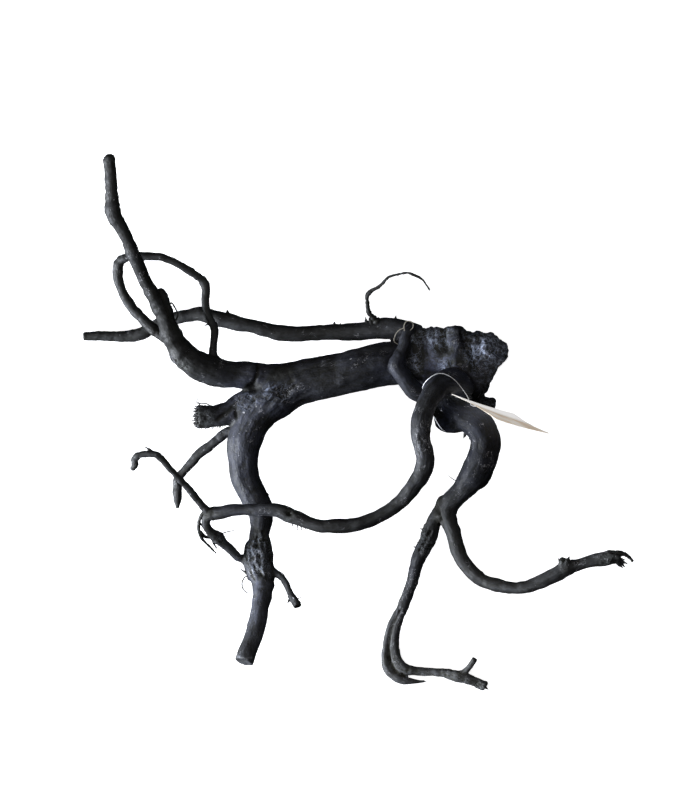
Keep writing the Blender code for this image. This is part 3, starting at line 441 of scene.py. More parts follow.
class DryRootWood(bpy.types.PropertyGroup):
    """Sizes and colours of the wood."""
    detail: FloatProperty(
        name="Detail", description="Distance between two points of the wood's skin",
        default=1.28 * MM, min=0.6 * MM, unit="LENGTH")
    ridge_height: FloatProperty(
        name="Ridge height", description="Height of the long ridges as a share of the wood's radius",
        default=0.07, min=0.0, subtype="FACTOR")
    ridge_width: FloatProperty(
        name="Ridge width", description="Distance between two long ridges",
        default=5.0 * MM, min=1.0 * MM, unit="LENGTH")
    lump_height: FloatProperty(
        name="Lump height", description="Height of the broad lumps as a share of the wood's radius",
        default=0.08, min=0.0, subtype="FACTOR")
    bark_height: FloatProperty(
        name="Bark height", description="Height of the torn bark on the knotted places",
        default=1.5 * MM, min=0.0, unit="LENGTH")
    # The dark colour is also the painted shade in the wood's cracks, creases and low places
    dark: FloatVectorProperty(
        name="Dark wood", description="Colour of the wood in its hollows",
        default=(0.0072, 0.0074, 0.0070), size=3, min=0.0, max=1.0, subtype="COLOR")
    slate: FloatVectorProperty(
        name="Slate wood", description="Colour of the worn, dusty wood",
        default=(0.0242, 0.0268, 0.042), size=3, min=0.0, max=1.0, subtype="COLOR")
    dust: FloatVectorProperty(
        name="Dusty wood", description="Colour of the dustiest wood, on the knot and on ridges",
        default=(0.075, 0.087, 0.120), size=3, min=0.0, max=1.0, subtype="COLOR")
    fleck: FloatVectorProperty(
        name="Flecks", description="Colour of the scratches and pale flecks",
        default=(0.30, 0.30, 0.32), size=3, min=0.0, max=1.0, subtype="COLOR")
    sheen: FloatProperty(
        name="Roughness", description="How dull the worn ridges are",
        default=0.50, min=0.0, max=1.0, subtype="FACTOR")


class DryRootFibres(bpy.types.PropertyGroup):
    """Sizes of the rootlets and fibres."""
    bristles: IntProperty(
        name="Bristles", description="How many splinters stand out of the torn stub",
        default=60, min=0, max=200)
    reach: FloatProperty(
        name="Bristle length", description="Length of the longest splinter",
        default=4.5 * MM, min=0.0, unit="LENGTH")


class DryRootTag(bpy.types.PropertyGroup):
    """Sizes and colours of the card and its loop."""
    length: FloatProperty(
        name="Length of the layout", default=68 * MM, unit="LENGTH",
        description="Length on which the hole and the rim are laid out; it doesn't resize the card")
    width: FloatProperty(
        name="Width of the layout", default=52 * MM, unit="LENGTH",
        description="Width on which the hole and the rim are laid out; it doesn't resize the card")
    thickness: FloatProperty(name="Card thickness", description="Thickness of the card",
                             default=0.5 * MM, unit="LENGTH")
    bow: FloatProperty(name="Bow", description="How far the card is bent out of its plane",
                       default=0.8 * MM, unit="LENGTH")
    card: FloatVectorProperty(
        name="Card", description="Colour of the card", default=(0.88, 0.87, 0.86), size=3,
        min=0.0, max=1.0, subtype="COLOR")
    # The card edge colour is also the painted shade on the half of the card past the middle of its width
    edge: FloatVectorProperty(
        name="Card edge", description="Colour of the card's aged rim", default=(0.50, 0.42, 0.33),
        size=3, min=0.0, max=1.0, subtype="COLOR")
    thread: FloatProperty(name="Loop radius", description="Radius of the clear loop",
                          default=0.26 * MM, unit="LENGTH")
    clear: FloatVectorProperty(
        name="Loop", description="Colour of the clear loop", default=(0.86, 0.87, 0.89), size=3,
        min=0.0, max=1.0, subtype="COLOR")


class DryRootStage(bpy.types.PropertyGroup):
    """The floor, the lights and the camera."""
    floor: FloatVectorProperty(
        name="Floor", description="Colour of the floor", default=(1.0, 1.0, 1.0), size=3,
        min=0.0, max=1.0, subtype="COLOR")
    key: FloatProperty(name="Key light", description="Power of the low light on the left",
                       default=90.0, min=0.0, unit="POWER")
    fill: FloatProperty(name="Fill light", description="Power of the soft light overhead",
                        default=4.6, min=0.0, unit="POWER")
    air: FloatProperty(name="Room light", description="Strength of the light from all round",
                       default=0.20, min=0.0, subtype="FACTOR")
    distance: FloatProperty(name="Camera distance", description="Height of the camera",
                            default=12.0, min=1.0, unit="LENGTH")


def lattice_noise(places, seed):
    """Smooth noise from -1 to 1.

    Each whole-number point of space has a random value, and between them the eight nearest values
    are blended along each axis with the weight 6t^5 - 15t^4 + 10t^3.
    """
    whole = np.floor(places).astype(np.int64)
    part = places - whole
    ease = part ** 3 * (part * (part * 6 - 15) + 10)
    total = np.zeros(len(places))
    for corner in range(8):
        step = np.array((corner & 1, corner >> 1 & 1, corner >> 2))
        key = (whole + step) @ np.array((374761393, 668265263, 1442695041)) + seed * 97531
        key = (key ^ (key >> 13)) * 1274126177
        key = (key ^ (key >> 16)) & 0xFFFFFF
        weight = np.prod(np.where(step == 1, ease, 1 - ease), axis=1)
        total += weight * (key / 0x7FFFFF - 1)
    return total


def layered_noise(places, seed, layers=3):
    """The sum of lattice noises, each twice as fine and half as strong as the one before."""
    total = sum(lattice_noise(places * 2 ** i + 17.3 * i, seed + i) / 2 ** i for i in range(layers))
    return total / (2 - 2 ** (1 - layers))


def smooth_line(route, spacing):
    """Points of a Catmull-Rom curve through the route, at even distances along it.

    Between two points of the route, each coordinate and the radius is the cubic whose slope at a
    point is half the difference of its two neighbours.
    """
    route = np.array(route, float)
    padded = np.vstack((2 * route[0] - route[1], route, 2 * route[-1] - route[-2]))
    padded[[0, -1], 3] = route[[0, -1], 3]
    t = np.linspace(0, len(route) - 1, 24 * (len(route) - 1) + 1)
    start = np.minimum(t.astype(int), len(route) - 2)
    t = (t - start)[:, None]
    before, here, there, after = (padded[start + i] for i in range(4))
    fine = 0.5 * (2 * here + (there - before) * t + (2 * before - 5 * here + 4 * there - after) * t ** 2
                  + (3 * here - before - 3 * there + after) * t ** 3)
    length = np.append(0, np.cumsum(np.linalg.norm(np.diff(fine[:, :3], axis=0), axis=1)))
    wanted = np.linspace(0, length[-1], max(3, int(length[-1] / spacing) + 1))
    return np.stack([np.interp(wanted, length, column) for column in fine.T], axis=1)


def stout_line(route, spacing):
    """The line of a length of wood with its bark on."""
    line = smooth_line(route, spacing)
    line[:, 3] += BARK
    return line


def directions(line, reference=(0, 0, 1)):
    """Unit vectors along the line, to its side and up, from its slope and a reference direction."""
    along = np.gradient(line[:, :3], axis=0)
    along /= np.linalg.norm(along, axis=1)[:, None]
    side = np.cross(along, reference)
    side /= np.linalg.norm(side, axis=1)[:, None]
    return along, side, np.cross(side, along)


def grid_faces(rows, sides, closed):
    """Faces of four corners between rows of points that each run round; closed joins the last row
    to the first."""
    row = np.arange(rows if closed else rows - 1)[:, None] * sides
    next_row = (row + sides) % (rows * sides)
    here = np.arange(sides)[None]
    there = (here + 1) % sides
    return np.stack((row + here, next_row + here, next_row + there, row + there), axis=-1).reshape(-1, 4)


def tube(line, sides, reference=(0, 0, 1), closed=False):
    """A tube along the line: each point is centre + radius (cos a side + sin a up).

    An open tube ends in a pole at the middle of each end. Returns points and faces of four or
    three corners, with the last corner repeated in a face of three.
    """
    along, side, up = directions(line, reference)
    turn = np.arange(sides) * math.tau / sides
    ring = np.cos(turn)[None, :, None] * side[:, None] + np.sin(turn)[None, :, None] * up[:, None]
    points = (line[:, None, :3] + line[:, None, 3:4] * ring).reshape(-1, 3)
    faces = grid_faces(len(line), sides, closed)[:, ::-1]
    if closed:
        return points, faces
    pole = np.full(sides, len(points))
    end = len(points) - sides
    here = np.arange(sides)
    there = (here + 1) % sides
    start_cap = np.stack((there, here, pole, pole), axis=1)
    end_cap = np.stack((end + here, end + there, pole + 1, pole + 1), axis=1)
    return np.vstack((points, line[0, :3], line[-1, :3])), np.vstack((faces, start_cap, end_cap))


def joined(parts):
    """Several (points, faces) as one."""
    shift = 0
    points, faces = [], []
    for some_points, some_faces in parts:
        points.append(some_points)
        faces.append(some_faces + shift)
        shift += len(some_points)
    return np.vstack(points), np.vstack(faces)


def mesh_object(name, points, faces):
    """A smooth-shaded object from points in millimetres and faces that look outwards."""
    corners = [tuple(face[:3]) if face[2] == face[3] else tuple(face) for face in faces.tolist()]
    mesh = bpy.data.meshes.new(name)
    mesh.from_pydata((points * MM).tolist(), [], corners)
    mesh.validate()
    made = bpy.data.objects.new(name, mesh)
    bpy.context.scene.collection.objects.link(made)
    mesh.shade_smooth()
    return made


def save_attribute(mesh, name, values):
    """Keep a number or a vector for each point of the mesh."""
    kind = "FLOAT" if values.ndim == 1 else "FLOAT_VECTOR"
    made = mesh.attributes.new(name, kind, "POINT")
    made.data.foreach_set("value" if kind == "FLOAT" else "vector", values.astype(np.float32).ravel())


class Length:
    """One length of wood, ready to be measured against points in space."""

    def __init__(self, entry, number):
        route, self.fillet, self.ridges, self.lumps, self.bark, self.blunt = entry
        self.number = number
        self.line = stout_line(route, ROUTE_STEP)
        self.along, self.side, self.up = directions(self.line)
        steps = np.linalg.norm(np.diff(self.line[:, :3], axis=0), axis=1)
        self.travelled = np.append(0, np.cumsum(steps))
        self.step = steps.mean()
        self.widening = np.gradient(self.line[:, 3]) / self.step
        self.low = (self.line[:, :3] - self.line[:, 3:4]).min(axis=0) - 9
        self.high = (self.line[:, :3] + self.line[:, 3:4]).max(axis=0) + 9

    def nearest(self, points):
        """The nearest point of the line to each point, by the smallest squared distance."""
        centres = self.line[:, :3]
        found = np.empty(len(points), int)
        for start in range(0, len(points), 8192):
            some = points[start:start + 8192]
            gap = (centres ** 2).sum(1)[None] - 2 * some @ centres.T
            found[start:start + 8192] = gap.argmin(1)
        return found

    def measure(self, points):
        """Distance from the wood's surface, the way out of it, and the place on it.

        In a section along the middle line, the wood is a box with round corners: x is the distance
        from the line less the radius, y the distance past the nearer end, both measured from
        where the corner's arc begins. The distance is the length of (x, y) with negative parts
        taken as none, plus the larger of them where both are negative, less the arc's radius.
        """
        index = self.nearest(points)
        centre, along = self.line[index, :3], self.along[index]
        ahead = ((points - centre) * along).sum(1)
        out = points - centre - along * ahead[:, None]
        reach = np.linalg.norm(out, axis=1) + 1e-9
        out /= reach[:, None]
        slid = np.clip(ahead, -self.step, self.step)
        radius = self.line[index, 3] + slid * self.widening[index]
        distance = self.travelled[index] + ahead
        arc = self.blunt * radius
        to_end = distance - self.travelled[-1]
        nearer_end = to_end > -distance
        x = reach - radius + arc
        y = np.where(nearer_end, to_end, -distance) + arc
        corner = np.hypot(np.maximum(x, 0), np.maximum(y, 0))
        gap = corner + np.minimum(np.maximum(x, y), 0) - arc
        outward = np.where(corner > 0, np.maximum(x, 0), x > y)
        endward = np.where(corner > 0, np.maximum(y, 0), y >= x) * np.where(nearer_end, 1, -1)
        way = out * outward[:, None] + along * endward[:, None]
        way /= np.linalg.norm(way, axis=1)[:, None] + 1e-9
        angle_side = (out * self.side[index]).sum(1)
        angle_up = (out * self.up[index]).sum(1)
        return gap, way, radius, angle_side, angle_up, distance

    def relief(self, points, radius, angle_side, angle_up, distance, wood):
        """Height of the skin over the plain round wood, in millimetres.

        Long ridges are noise that is wound round the wood and stretched along it. Finer wrinkles
        are the same with sharp valleys. Broad lumps are noise in space, and knobs are the sum of
        two finer ones. Each is a share of the radius, times the length's own share.
        """
        pitch = wood.ridge_width / MM
        wound = np.stack((angle_side * radius / pitch, angle_up * radius / pitch,
                          distance / (pitch * 4.5)), axis=1)
        ridge = lattice_noise(wound + 31.7 * self.number, RIDGE)
        finer = lattice_noise(wound * (2.1, 2.1, 1.6) + 5.1 * self.number, WRINKLE)
        wrinkle = 1 - 2.4 * np.abs(finer)
        lump = lattice_noise(points / np.maximum(radius * 1.5, 4)[:, None], LUMP)
        knobs = lattice_noise(points / 6.5, KNOB) + 0.5 * lattice_noise(points / 3.1, FINE_KNOB)
        return (wood.ridge_height * self.ridges * radius * ridge
                + 0.018 * self.ridges * np.minimum(radius, 9) * wrinkle
                + 0.035 * self.lumps * np.minimum(radius, 9) * knobs
                + wood.lump_height * self.lumps * radius * lump)


def grow_together(points, lengths, wood):
    """Distance of each point from the wood that the lengths make together, and what is there.

    Where two lengths are nearly as close, the smaller distance is lowered by k h (1 - h), where k
    is how softly they grow together and h is the share of the nearer one. The way out, the relief
    and the grain are mixed in the same shares.
    """
    count = len(points)
    gap = np.full(count, 60.0)
    way = np.zeros((count, 3))
    relief = np.zeros(count)
    bark = np.zeros(count)
    grain = np.zeros((count, 3))
    seam = np.zeros(count)
    for length in lengths:
        near = np.flatnonzero(((points > length.low) & (points < length.high)).all(1))
        if not len(near):
            continue
        some = points[near]
        capped, out, radius, angle_side, angle_up, distance = length.measure(some)
        height = length.relief(some, radius, angle_side, angle_up, distance, wood)
        share = np.clip(0.5 + 0.5 * (gap[near] - capped) / length.fillet, 0, 1)
        gap[near] = gap[near] * (1 - share) + capped * share - length.fillet * share * (1 - share)
        column = share[:, None]
        way[near] = way[near] * (1 - column) + out * column
        relief[near] = relief[near] * (1 - share) + height * share
        bark[near] = bark[near] * (1 - share) + length.bark * share
        seam[near] = np.maximum(seam[near] * (1 - share), 4 * share * (1 - share))
        wound = np.stack((angle_side * radius, angle_up * radius, distance + 40 * length.number), axis=1)
        grain[near] = np.where(column > 0.5, wound, grain[near])
    way /= np.linalg.norm(way, axis=1)[:, None] + 1e-9
    return gap, way, relief, bark, grain, seam


def distance_to_path(points, path):
    """Distance in plan from each point to a line through the path's points."""
    path = np.array(path, float)
    nearest = np.full(len(points), 1e3)
    for start, end in zip(path, path[1:]):
        run = end - start
        t = np.clip(((points[:, :2] - start) @ run) / (run @ run), 0, 1)
        nearest = np.minimum(nearest, np.linalg.norm(points[:, :2] - start - t[:, None] * run, axis=1))
    return nearest


def squared_reach(points, middle, reach):
    """The square of the distance of each point from a middle, over the reach on each axis."""
    return (((points - np.array(middle)) / np.array(reach)) ** 2).sum(1)


def torn_bark(points, grain, crust, wood):
    """Height of the rough crust and torn bark, and how torn each point is.

    A torn place fades out as exp(-1.3 q squared), where q is the distance from its middle over its
    reach. Its height is one less a multiple of the size of a layered noise that is stretched along
    the grain. The crust is the same with an even noise.
    """
    torn = np.zeros(len(points))
    for middle, reach, strength in TORN_PLACES:
        torn = np.maximum(torn, strength * np.exp(-1.3 * squared_reach(points, middle, reach)))
    strips = 1 - 2.8 * np.abs(layered_noise(grain / (3.4, 3.4, 14.0), STRIP))
    lumps = 1 - 3.0 * np.abs(layered_noise(points / 6.0, CRUST))
    chips = lattice_noise(points / 2.8, CHIP)
    height = torn * (strips + 0.3 * chips) + crust * (lumps + 0.4 * chips)
    return height * wood.bark_height / MM, np.maximum(torn, crust)


def patched(points, places):
    """The sum of strength exp(-q squared), q being the distance from a place over its reach."""
    total = np.zeros(len(points))
    for middle, reach, strength in places:
        total += strength * np.exp(-squared_reach(points, middle, reach))
    return total


def lined(points, facing_up, lines):
    """The sum of strength exp(-q squared) on faces that look up.

    Here q is the distance in plan from a line, with a little noise, over half the line's width.
    """
    total = np.zeros(len(points))
    wander = 0.6 * lattice_noise(points / 3.0, WANDER)
    for path, half_width, strength in lines:
        total += strength * np.exp(-((distance_to_path(points, path) + wander) / half_width) ** 2)
    return total * np.clip(facing_up * 2, 0, 1)


def scars(points, facing_up):
    """How deep the cracks and hollows are, in millimetres, on faces that look up.

    A hollow is depth exp(-q squared), q being the distance from its middle over its reach.
    """
    depth = lined(points, facing_up, CRACKS)
    for middle, reach, deep in HOLLOWS:
        hollow = deep * np.exp(-squared_reach(points[:, :2], middle, reach))
        depth += hollow * np.clip(facing_up * 2, 0, 1)
    return depth


def remeshed(source, cell):
    """One closed skin of even squares round everything that the object holds."""
    skin = source.modifiers.new("one skin", "REMESH")
    skin.mode = "VOXEL"
    skin.voxel_size = cell
    skin.use_smooth_shade = True
    graph = bpy.context.evaluated_depsgraph_get()
    mesh = bpy.data.meshes.new_from_object(source.evaluated_get(graph))
    bpy.data.objects.remove(source, do_unlink=True)
    return mesh


def largest_body(mesh):
    """Which points belong to the largest connected body.

    Each point takes the lowest label next to it, and then the label of its label, until nothing
    changes.
    """
    edges = np.empty(len(mesh.edges) * 2, np.int32)
    mesh.edges.foreach_get("vertices", edges)
    one, other = edges.reshape(-1, 2).T
    label = np.arange(len(mesh.vertices))
    while True:
        low = np.minimum(label[one], label[other])
        new = label.copy()
        np.minimum.at(new, label[one], low)
        np.minimum.at(new, label[other], low)
        new = new[new]
        new = new[new]
        if (new == label).all():
            break
        label = new
    names, sizes = np.unique(label, return_counts=True)
    return label == names[sizes.argmax()]


def read_points(mesh):
    """The mesh's points in millimetres."""
    flat = np.empty(len(mesh.vertices) * 3, np.float32)
    mesh.vertices.foreach_get("co", flat)
    return flat.reshape(-1, 3).astype(float) / MM


def read_normals(mesh):
    """The way out of the mesh at each point."""
    flat = np.empty(len(mesh.vertices) * 3, np.float32)
    mesh.vertex_normals.foreach_get("vector", flat)
    return flat.reshape(-1, 3).astype(float)


def write_points(mesh, points):
    """Move the mesh's points to places in millimetres."""
    mesh.vertices.foreach_set("co", (points * MM).astype(np.float32).ravel())
    mesh.update()


def add_node(tree, kind, inputs=(), **settings):
    """A shader node with its settings, and its inputs linked or set by name or number."""
    made = tree.nodes.new(kind)
    for name, value in settings.items():
        setattr(made, name, value)
    for name, value in dict(inputs).items():
        socket = made.inputs[name]
        if isinstance(value, bpy.types.NodeSocket):
            tree.links.new(value, socket)
        else:
            socket.default_value = value
    return made


def add_ramp(tree, value, stops, interpolation="EASE"):
    """A colour ramp: stops of a position and a grey or a colour."""
    made = add_node(tree, "ShaderNodeValToRGB", {"Fac": value})
    ramp = made.color_ramp
    ramp.interpolation = interpolation
    while len(ramp.elements) < len(stops):
        ramp.elements.new(0.5)
    for element, (position, colour) in zip(ramp.elements, stops):
        element.position = position
        element.color = (*((colour,) * 3 if isinstance(colour, float) else colour), 1.0)
    return made.outputs["Color"]


def add_math(tree, one, other, operation="ADD"):
    """Two numbers added, or combined in another way."""
    return add_node(tree, "ShaderNodeMath", {0: one, 1: other}, operation=operation).outputs[0]


def add_noise(tree, where, scale, detail, roughness):
    """Cloudy noise from 0 to 1."""
    inputs = {"Vector": where, "Scale": scale, "Detail": detail, "Roughness": roughness}
    return add_node(tree, "ShaderNodeTexNoise", inputs).outputs["Fac"]


def add_bump(tree, height, strength, distance, under=None, invert=False):
    """A normal that shows the height as relief, on top of another normal."""
    inputs = {"Height": height, "Strength": strength, "Distance": distance}
    if under is not None:
        inputs["Normal"] = under
    return add_node(tree, "ShaderNodeBump", inputs, invert=invert).outputs[0]


def add_attribute(tree, name, output="Fac"):
    """A number or a vector that is kept for each point of the mesh."""
    return add_node(tree, "ShaderNodeAttribute", attribute_name=name).outputs[output]


def add_mix(tree, share, one, other, blend="MIX"):
    """Two colours mixed. The node's inputs 6 and 7 are its colours."""
    made = add_node(tree, "ShaderNodeMix", data_type="RGBA", blend_type=blend)
    for socket, value in zip((made.inputs["Factor"], made.inputs[6], made.inputs[7]), (share, one, other)):
        if isinstance(value, bpy.types.NodeSocket):
            tree.links.new(value, socket)
        else:
            socket.default_value = value if isinstance(value, float) else (*value, 1.0)
    return made.outputs[2]


def new_material(name):
    """A new material, its node tree and its shader."""
    made = bpy.data.materials.new(name)
    made.use_nodes = True
    return made, made.node_tree, made.node_tree.nodes["Principled BSDF"]


def dark_wood(wood):
    """Charcoal-dark dry wood: slate-grey where it is worn, with painted shade near black in its hollows
    and creases, fine grit along the grain, pits, a cracked crust on its torn places, pale flecks and
    scratches, and painted light and shade from place to place."""
    made, tree, shader = new_material("dark dry wood")
    place = add_node(tree, "ShaderNodeTexCoord").outputs["Object"]
    grain = add_attribute(tree, "grain", "Vector")
    hollow, torn, tone_and_painted_light, bluish, scuffed, pale = (
        add_attribute(tree, name) for name in ("hollow", "torn", "tone_and_painted_light", "bluish", "scuffed", "pale"))

    def scaled(vector, scale):
        return add_node(tree, "ShaderNodeVectorMath", {0: vector, 1: scale}, operation="MULTIPLY").outputs[0]

    def plus(one, other):
        return add_math(tree, one, other)

    def times(one, other):
        return add_math(tree, one, other, "MULTIPLY")

    def away_from_middle(value):
        return add_math(tree, plus(value, -0.5), 0.0, "ABSOLUTE")

    streaks = add_noise(tree, scaled(grain, (0.34, 0.34, 0.06)), 1.0, 3.0, 0.55)
    grit = add_noise(tree, scaled(grain, (0.8, 0.8, 0.26)), 1.0, 3.0, 0.65)
    patches = add_noise(tree, place, 62.0, 5.0, 0.62)
    pits = add_noise(tree, place, 640.0, 3.0, 0.65)
    crust = away_from_middle(add_noise(tree, place, 210.0, 4.0, 0.6))

    # Slate-grey to dusty where it is worn, with dusty ridges on the crust, and painted shade: darker where
    # the hollow attribute marks cracks, creases and low places
    worn = plus(plus(times(streaks, 0.15), times(grit, 0.35)), times(patches, 0.25))
    worn = plus(plus(worn, times(pits, 0.25)), times(hollow, -0.4))
    stops = [(0.40, tuple(wood.dark)), (0.60, tuple(wood.slate)), (0.92, tuple(wood.dust))]
    colour = add_ramp(tree, worn, stops, "LINEAR")
    ridge = add_ramp(tree, crust, [(0.0, 1.0), (0.045, 0.0)])
    rough = add_ramp(tree, torn, [(0.25, 0.0), (0.7, 1.0)])
    colour = add_mix(tree, times(rough, 0.35), colour, tuple(wood.dark))
    colour = add_mix(tree, times(times(ridge, rough), 0.75), colour, tuple(wood.dust))

    # Grey or bluish from place to place, and paler or darker by the tone, which holds dustier and blacker
    # wood and also painted light and painted shade
    grey = add_mix(tree, 1.0, colour, (1.07, 1.0, 0.70), "MULTIPLY")
    colour = add_mix(tree, bluish, grey, colour)
    lift = add_math(tree, PALER_PER_TONE, add_math(tree, tone_and_painted_light, HIGHEST_TONE, "MINIMUM"), "POWER")
    colour = scaled(colour, lift)

    # Scratches and specks, mostly on the scuffed places
    scratch = away_from_middle(add_noise(tree, scaled(grain, (0.42, 0.42, 0.2)), 1.0, 2.0, 0.6))
    scratch = add_ramp(tree, scratch, [(0.0, 1.0), (0.02, 0.0)])
    where = plus(add_noise(tree, place, 95.0, 2.0, 0.5), times(scuffed, 0.20))
    scratch = times(scratch, add_ramp(tree, where, [(0.62, 0.0), (0.70, 1.0)]))
    specks = plus(add_noise(tree, place, 400.0, 2.0, 0.5), times(scuffed, 0.05))
    specks = add_ramp(tree, specks, [(0.71, 0.0), (0.77, 1.0)])
    specks = times(specks, add_ramp(tree, patches, [(0.44, 0.0), (0.6, 1.0)]))
    marks = add_math(tree, times(scratch, 0.8), specks, "MAXIMUM")
    colour = add_mix(tree, marks, colour, tuple(wood.fleck))
    colour = add_mix(tree, pale, colour, (0.42, 0.38, 0.31))
    tree.links.new(colour, shader.inputs["Base Color"])

    dull = plus(pits, times(torn, 0.1))
    dull = add_ramp(tree, dull, [(0.3, wood.sheen - 0.06), (0.75, wood.sheen + 0.25)])
    tree.links.new(dull, shader.inputs["Roughness"])
    # Less shine where the tone is low, so that the painted shade isn't lifted by sheen
    shine = add_ramp(tree, plus(tone_and_painted_light, 0.5), [(0.1, 0.0), (0.5, 0.3)], "LINEAR")
    shine = times(shine, plus(times(bluish, -0.15), 1.0))
    shader.inputs["Specular IOR Level"].default_value = 0.3
    tree.links.new(shine, shader.inputs["Specular IOR Level"])

    normal = add_bump(tree, streaks, 0.5, 0.0008)
    normal = add_bump(tree, grit, 0.6, 0.0008, normal)
    normal = add_bump(tree, pits, 0.6, 0.0006, normal)
    cracked = times(crust, add_ramp(tree, torn, [(0.2, 0.0), (0.8, 1.0)]))
    normal = add_bump(tree, cracked, 0.8, 0.004, normal, invert=True)
    tree.links.new(normal, shader.inputs["Normal"])
    return made


def blank_card(tag):
    """Plain card with a faint fibre texture, an aged rim, painted shade on one half and a painted glow."""
    made, tree, shader = new_material("blank card")
    place = add_node(tree, "ShaderNodeTexCoord").outputs["Object"]
    fibre = add_noise(tree, place, 900.0, 4.0, 0.6)
    cloud = add_ramp(tree, add_noise(tree, place, 60.0, 2.0, 0.5), [(0.3, 0.6), (0.6, 1.0)])
    rim_and_painted_shade = add_math(tree, add_attribute(tree, "rim"), cloud, "MULTIPLY")
    colour = add_mix(tree, rim_and_painted_shade, tuple(tag.card), tuple(tag.edge))
    tree.links.new(colour, shader.inputs["Base Color"])
    tree.links.new(add_ramp(tree, fibre, [(0.3, 0.62), (0.7, 0.78)]), shader.inputs["Roughness"])
    tree.links.new(add_bump(tree, fibre, 0.25, 0.0001), shader.inputs["Normal"])
    # Painted light: the card glows in its own colour, standing in for the light that falls on it and through
    # it
    tree.links.new(colour, shader.inputs["Emission Color"])
    shader.inputs["Emission Strength"].default_value = 0.76
    return made


def clear_plastic(tag):
    """Clear stiff thread with faint draw lines."""
    made, tree, shader = new_material("clear plastic")
    place = add_node(tree, "ShaderNodeTexCoord").outputs["Object"]
    cloud = add_noise(tree, place, 240.0, 2.0, 0.5)
    paler = tuple(min(1.0, part * 1.1) for part in tag.clear)
    tree.links.new(add_mix(tree, cloud, tuple(tag.clear), paler), shader.inputs["Base Color"])
    tree.links.new(add_ramp(tree, cloud, [(0.3, 0.16), (0.7, 0.30)]), shader.inputs["Roughness"])
    shader.inputs["Transmission Weight"].default_value = 0.2
    shader.inputs["IOR"].default_value = 1.49
    return made


def white_floor(stage):
    """Plain matt white that glows a little, so that it stays white in the frame."""
    made, tree, shader = new_material("white floor")
    shader.inputs["Base Color"].default_value = (*stage.floor, 1.0)
    shader.inputs["Roughness"].default_value = 1.0
    shader.inputs["Specular IOR Level"].default_value = 0.0
    shader.inputs["Emission Color"].default_value = (*stage.floor, 1.0)
    shader.inputs["Emission Strength"].default_value = 0.86
    return made


class DRYROOT_OT_wood(bpy.types.Operator):
    """Build the wood of the root as one grown skin"""
    bl_idname = "dryroot.wood"
    bl_label = "Wood"

    def execute(self, context):
        wood = context.scene.dryroot_wood
        cell = wood.detail * 1.0
        lengths = [Length(entry, number) for number, entry in enumerate(LENGTHS)]
        tubes = [tube(stout_line(entry[0], 1.5), 20) for entry in LENGTHS]
        mesh = remeshed(mesh_object("wood_lengths", *joined(tubes)), cell)
        keep = largest_body(mesh)
        points = read_points(mesh)
        for _ in range(PASSES):
            gap, way, relief, bark, grain, seam = grow_together(points, lengths, wood)
            points -= way * np.clip(gap, -FARTHEST_MOVE, FARTHEST_MOVE)[:, None]
        write_points(mesh, points)
        normals = read_normals(mesh)
        flaked, torn = torn_bark(points, grain, bark, wood)
        cut = scars(points, normals[:, 2])
        height = relief + flaked - cut
        points += normals * height[:, None]
        points[:, 2] = np.maximum(points[:, 2], 0)
        write_points(mesh, points)
        # Painted shade: darker in cracks and hollows, where lengths grow together, and between ridges and
        # bark
        low = np.clip(cut / 2 + seam * 0.3 - flaked * 0.35 - relief * 0.15, 0, 1.5)
        # Painted light and shade: the tone lifts lit faces and edges and darkens places that other limbs
        # shadow, besides dustier and blacker wood
        tone_and_painted_light = patched(points, TONES_AND_PAINTED_LIGHT) + lined(points, normals[:, 2], WORN_EDGES_AND_HIGHLIGHTS)
        save_attribute(mesh, "grain", grain)
        save_attribute(mesh, "torn", np.clip(torn, 0, 1.5))
        save_attribute(mesh, "hollow", low)
        save_attribute(mesh, "tone_and_painted_light", tone_and_painted_light)
        save_attribute(mesh, "bluish", np.clip(patched(points, BLUES), 0, 1))
        save_attribute(mesh, "scuffed", np.clip(patched(points, SCUFFS), 0, 1))
        root = bpy.data.objects.new("root_wood", mesh)
        context.scene.collection.objects.link(root)
        drop_points(mesh, ~keep)
        mesh.materials.clear()
        mesh.materials.append(dark_wood(wood))
        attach(root, "root")
        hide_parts("root")
        return {"FINISHED"}


def drop_points(mesh, unwanted):
    """Remove the points of loose scraps."""
    if not unwanted.any():
        return
    work = bmesh.new()
    work.from_mesh(mesh)
    work.verts.ensure_lookup_table()
    bmesh.ops.delete(work, geom=[work.verts[i] for i in np.flatnonzero(unwanted)], context="VERTS")
    work.to_mesh(mesh)
    work.free()


def splinters(fibres, random):
    """Routes of the splinters round the torn stub's broken end."""
    end, before = np.array(TORN_STUB[-1], float), np.array(TORN_STUB[-2], float)
    outward = (end - before)[:3] / np.linalg.norm((end - before)[:3])
    side = np.cross(outward, (0, 0, 1))
    side /= np.linalg.norm(side)
    up = np.cross(side, outward)
    routes = []
    for number in range(fibres.bristles):
        turn = number * GOLDEN_ANGLE
        out = end[3] * (0.2 + 0.78 * random.random() ** 0.5)
        root = end[:3] + (side * math.cos(turn) + up * math.sin(turn)) * out
        reach = fibres.reach / MM * (0.3 + 0.7 * random.random())
        lean = side * random.uniform(-0.4, 0.4) + up * random.uniform(-0.4, 0.4)
        tip = root + (outward + lean) * reach
        middle = (root + tip) / 2 + side * random.uniform(-0.5, 0.5)
        thick = random.uniform(0.35, 0.8)
        routes.append([(*(root - outward * 3), thick), (*root, thick), (*middle, thick * 0.7), (*tip, 0.12)])
    for number in range(14):
        root = np.array((-125 + number * 1.3, -1.0, random.uniform(31, 38)))
        tip = root + (random.uniform(-2, 0.5), random.uniform(-5.5, -3), random.uniform(-1, 1))
        routes.append([(*root, 0.6), (*(root * 0.5 + tip * 0.5), 0.35), (*tip, 0.12)])
    return routes


